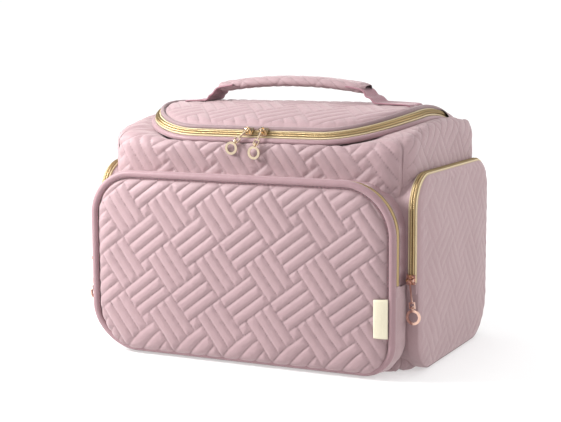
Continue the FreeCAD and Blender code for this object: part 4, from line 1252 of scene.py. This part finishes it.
def tag():
    """A folded blank tab caught in the front cover's right seam."""
    low, high = corners("blank_tag")
    t = np.linspace(0, 1, 24)
    curl = np.linspace(0, 1, 12)
    z = low[2] + (high[2] - low[2]) * t
    x = low[0] + (high[0] - low[0]) * curl
    grid = np.zeros((24, 12, 3))
    grid[..., 0] = x[None, :]
    grid[..., 2] = z[:, None] + 0.8 * (1 - curl)[None, :] * (0.5 - t)[:, None]
    droop = 0.7 * np.sin(t * 3)[:, None] * (1 - curl)[None, :]
    grid[..., 1] = -PIPING_DEPTH - 6.6 + 3.2 * curl[None, :] ** 2 - droop
    piece = grid_piece("blank_tag_cloth", grid)
    thick = piece.modifiers.new("thickness", "SOLIDIFY")
    thick.thickness = 0.0009
    finish_piece(piece, "tag", "case", ["blank_tag"])


# ---------------------------------------------------------------- scene


def dress_nodes():
    """Materials for the CAD nodes that stay in view."""
    for name, item in frame["nodes"].items():
        if item.hide_render:
            continue
        metal_part = any(word in name for word in ("slider", "link", "ring_", "_ring"))
        look = "rose_gold" if metal_part else "binding"
        if name.startswith(("lid_slider", "lid_link", "lid_ring")):
            look = "pale_gold"
        if not item.material_slots:
            item.data.materials.append(LOOKS[look])
        for spot in item.material_slots:
            spot.material = LOOKS[look]


def backdrop():
    """A pale round floor that curves up into a wall on every side."""
    floor = 2.6
    bend = 1.2
    profile = [(reach, 0.0) for reach in (0.0, 0.5, 1.0, 1.5, 2.0, floor)]
    for step in range(1, 13):
        angle = math.pi / 2 * step / 12
        profile.append((floor + bend * math.sin(angle), bend * (1 - math.cos(angle))))
    profile.append((floor + bend, 5.0))
    count = 96
    turn = np.arange(count) / count * 2 * math.pi
    reach, height = np.array(profile).T
    x = reach[:, None] * np.cos(turn)
    y = reach[:, None] * np.sin(turn)
    z = np.repeat(height[:, None], count, axis=1)
    points = np.stack([x, y, z], -1)
    mesh = bpy.data.meshes.new("backdrop")
    faces = grid_faces(len(profile), count, wrap_columns=True).tolist()
    mesh.from_pydata(points.reshape(-1, 3).tolist(), [], faces)
    mesh.polygons.foreach_set("use_smooth", [True] * len(faces))
    thing = bpy.data.objects.new("backdrop", mesh)
    bpy.context.scene.collection.objects.link(thing)
    material, tree, shader = new_material("backdrop_white")
    shader.inputs["Base Color"].default_value = (0.55, 0.55, 0.55, 1.0)
    shader.inputs["Roughness"].default_value = 0.9
    shader.inputs["Emission Color"].default_value = (1.0, 1.0, 1.0, 1.0)
    place = add(tree, "ShaderNodeTexCoord")
    distance = add(tree, "ShaderNodeVectorMath", operation="LENGTH")
    glow = add(tree, "ShaderNodeMapRange")
    glow.inputs["From Min"].default_value = 0.25
    glow.inputs["From Max"].default_value = 1.5
    glow.inputs["To Min"].default_value = 0.45
    glow.inputs["To Max"].default_value = 0.56
    tree.links.new(place.outputs["Object"], distance.inputs[0])
    tree.links.new(distance.outputs["Value"], glow.inputs["Value"])
    tree.links.new(glow.outputs["Result"], shader.inputs["Emission Strength"])
    mesh.materials.append(material)


def studio():
    """Soft light from the front left, a weak fill from the right, and pale surroundings."""
    backdrop()
    world = bpy.data.worlds.new("studio")
    bpy.context.scene.world = world
    world.use_nodes = True
    world.node_tree.nodes["Background"].inputs["Color"].default_value = (1.0, 1.0, 1.0, 1.0)
    world.node_tree.nodes["Background"].inputs["Strength"].default_value = 0.3
    for name, place, power, size in (
        ("key", (-0.57, -0.39, 0.50), 9.4, 0.25),
        ("side", (1.4, 0.1, 0.7), 4.2, 0.8),
        ("top", (0.0, 0.2, 2.2), 12.0, 1.2),
    ):
        light = bpy.data.lights.new(name, "AREA")
        light.energy = power
        light.size = size
        lamp = bpy.data.objects.new(name, light)
        bpy.context.scene.collection.objects.link(lamp)
        lamp.location = place
        aim = Vector((0, 0, 0.12)) - Vector(place)
        lamp.rotation_euler = aim.to_track_quat("-Z", "Y").to_euler()
    bpy.context.scene.view_settings.view_transform = "Standard"


def camera():
    """A long lens at the case's front right, a little above it."""
    yaw, pitch, roll = (math.radians(a) for a in (25.93, 7.6, -0.3))
    place = Vector((0.5503, -1.1665 + SHIFT / 1000, 0.2959))
    back = Vector((math.sin(yaw) * math.cos(pitch), -math.cos(yaw) * math.cos(pitch), math.sin(pitch)))
    right = (-back).cross(Vector((0, 0, 1))).normalized()
    up = right.cross(-back)
    turned_right = right * math.cos(roll) + up * math.sin(roll)
    turned_up = up * math.cos(roll) - right * math.sin(roll)
    data = bpy.data.cameras.new("camera")
    data.lens = 86.4
    data.sensor_width = 36.0
    eye = bpy.data.objects.new("camera", data)
    bpy.context.scene.collection.objects.link(eye)
    rows = Matrix((turned_right, turned_up, back)).transposed()
    eye.matrix_world = Matrix.Translation(place) @ rows.to_4x4()
    bpy.context.scene.camera = eye


body_panels()
seam_cords()
base()
lining()
dividers()
lid_panel()
lid_inside()
mesh_pocket()
hinge_strip()
back_corners()
lid_zip()
front_cover()
front_piping()
front_sides()
zip_tabs()
side_pocket("left", -1)
side_pocket("right", 1)
handle()
tag()
dress_nodes()
studio()
camera()
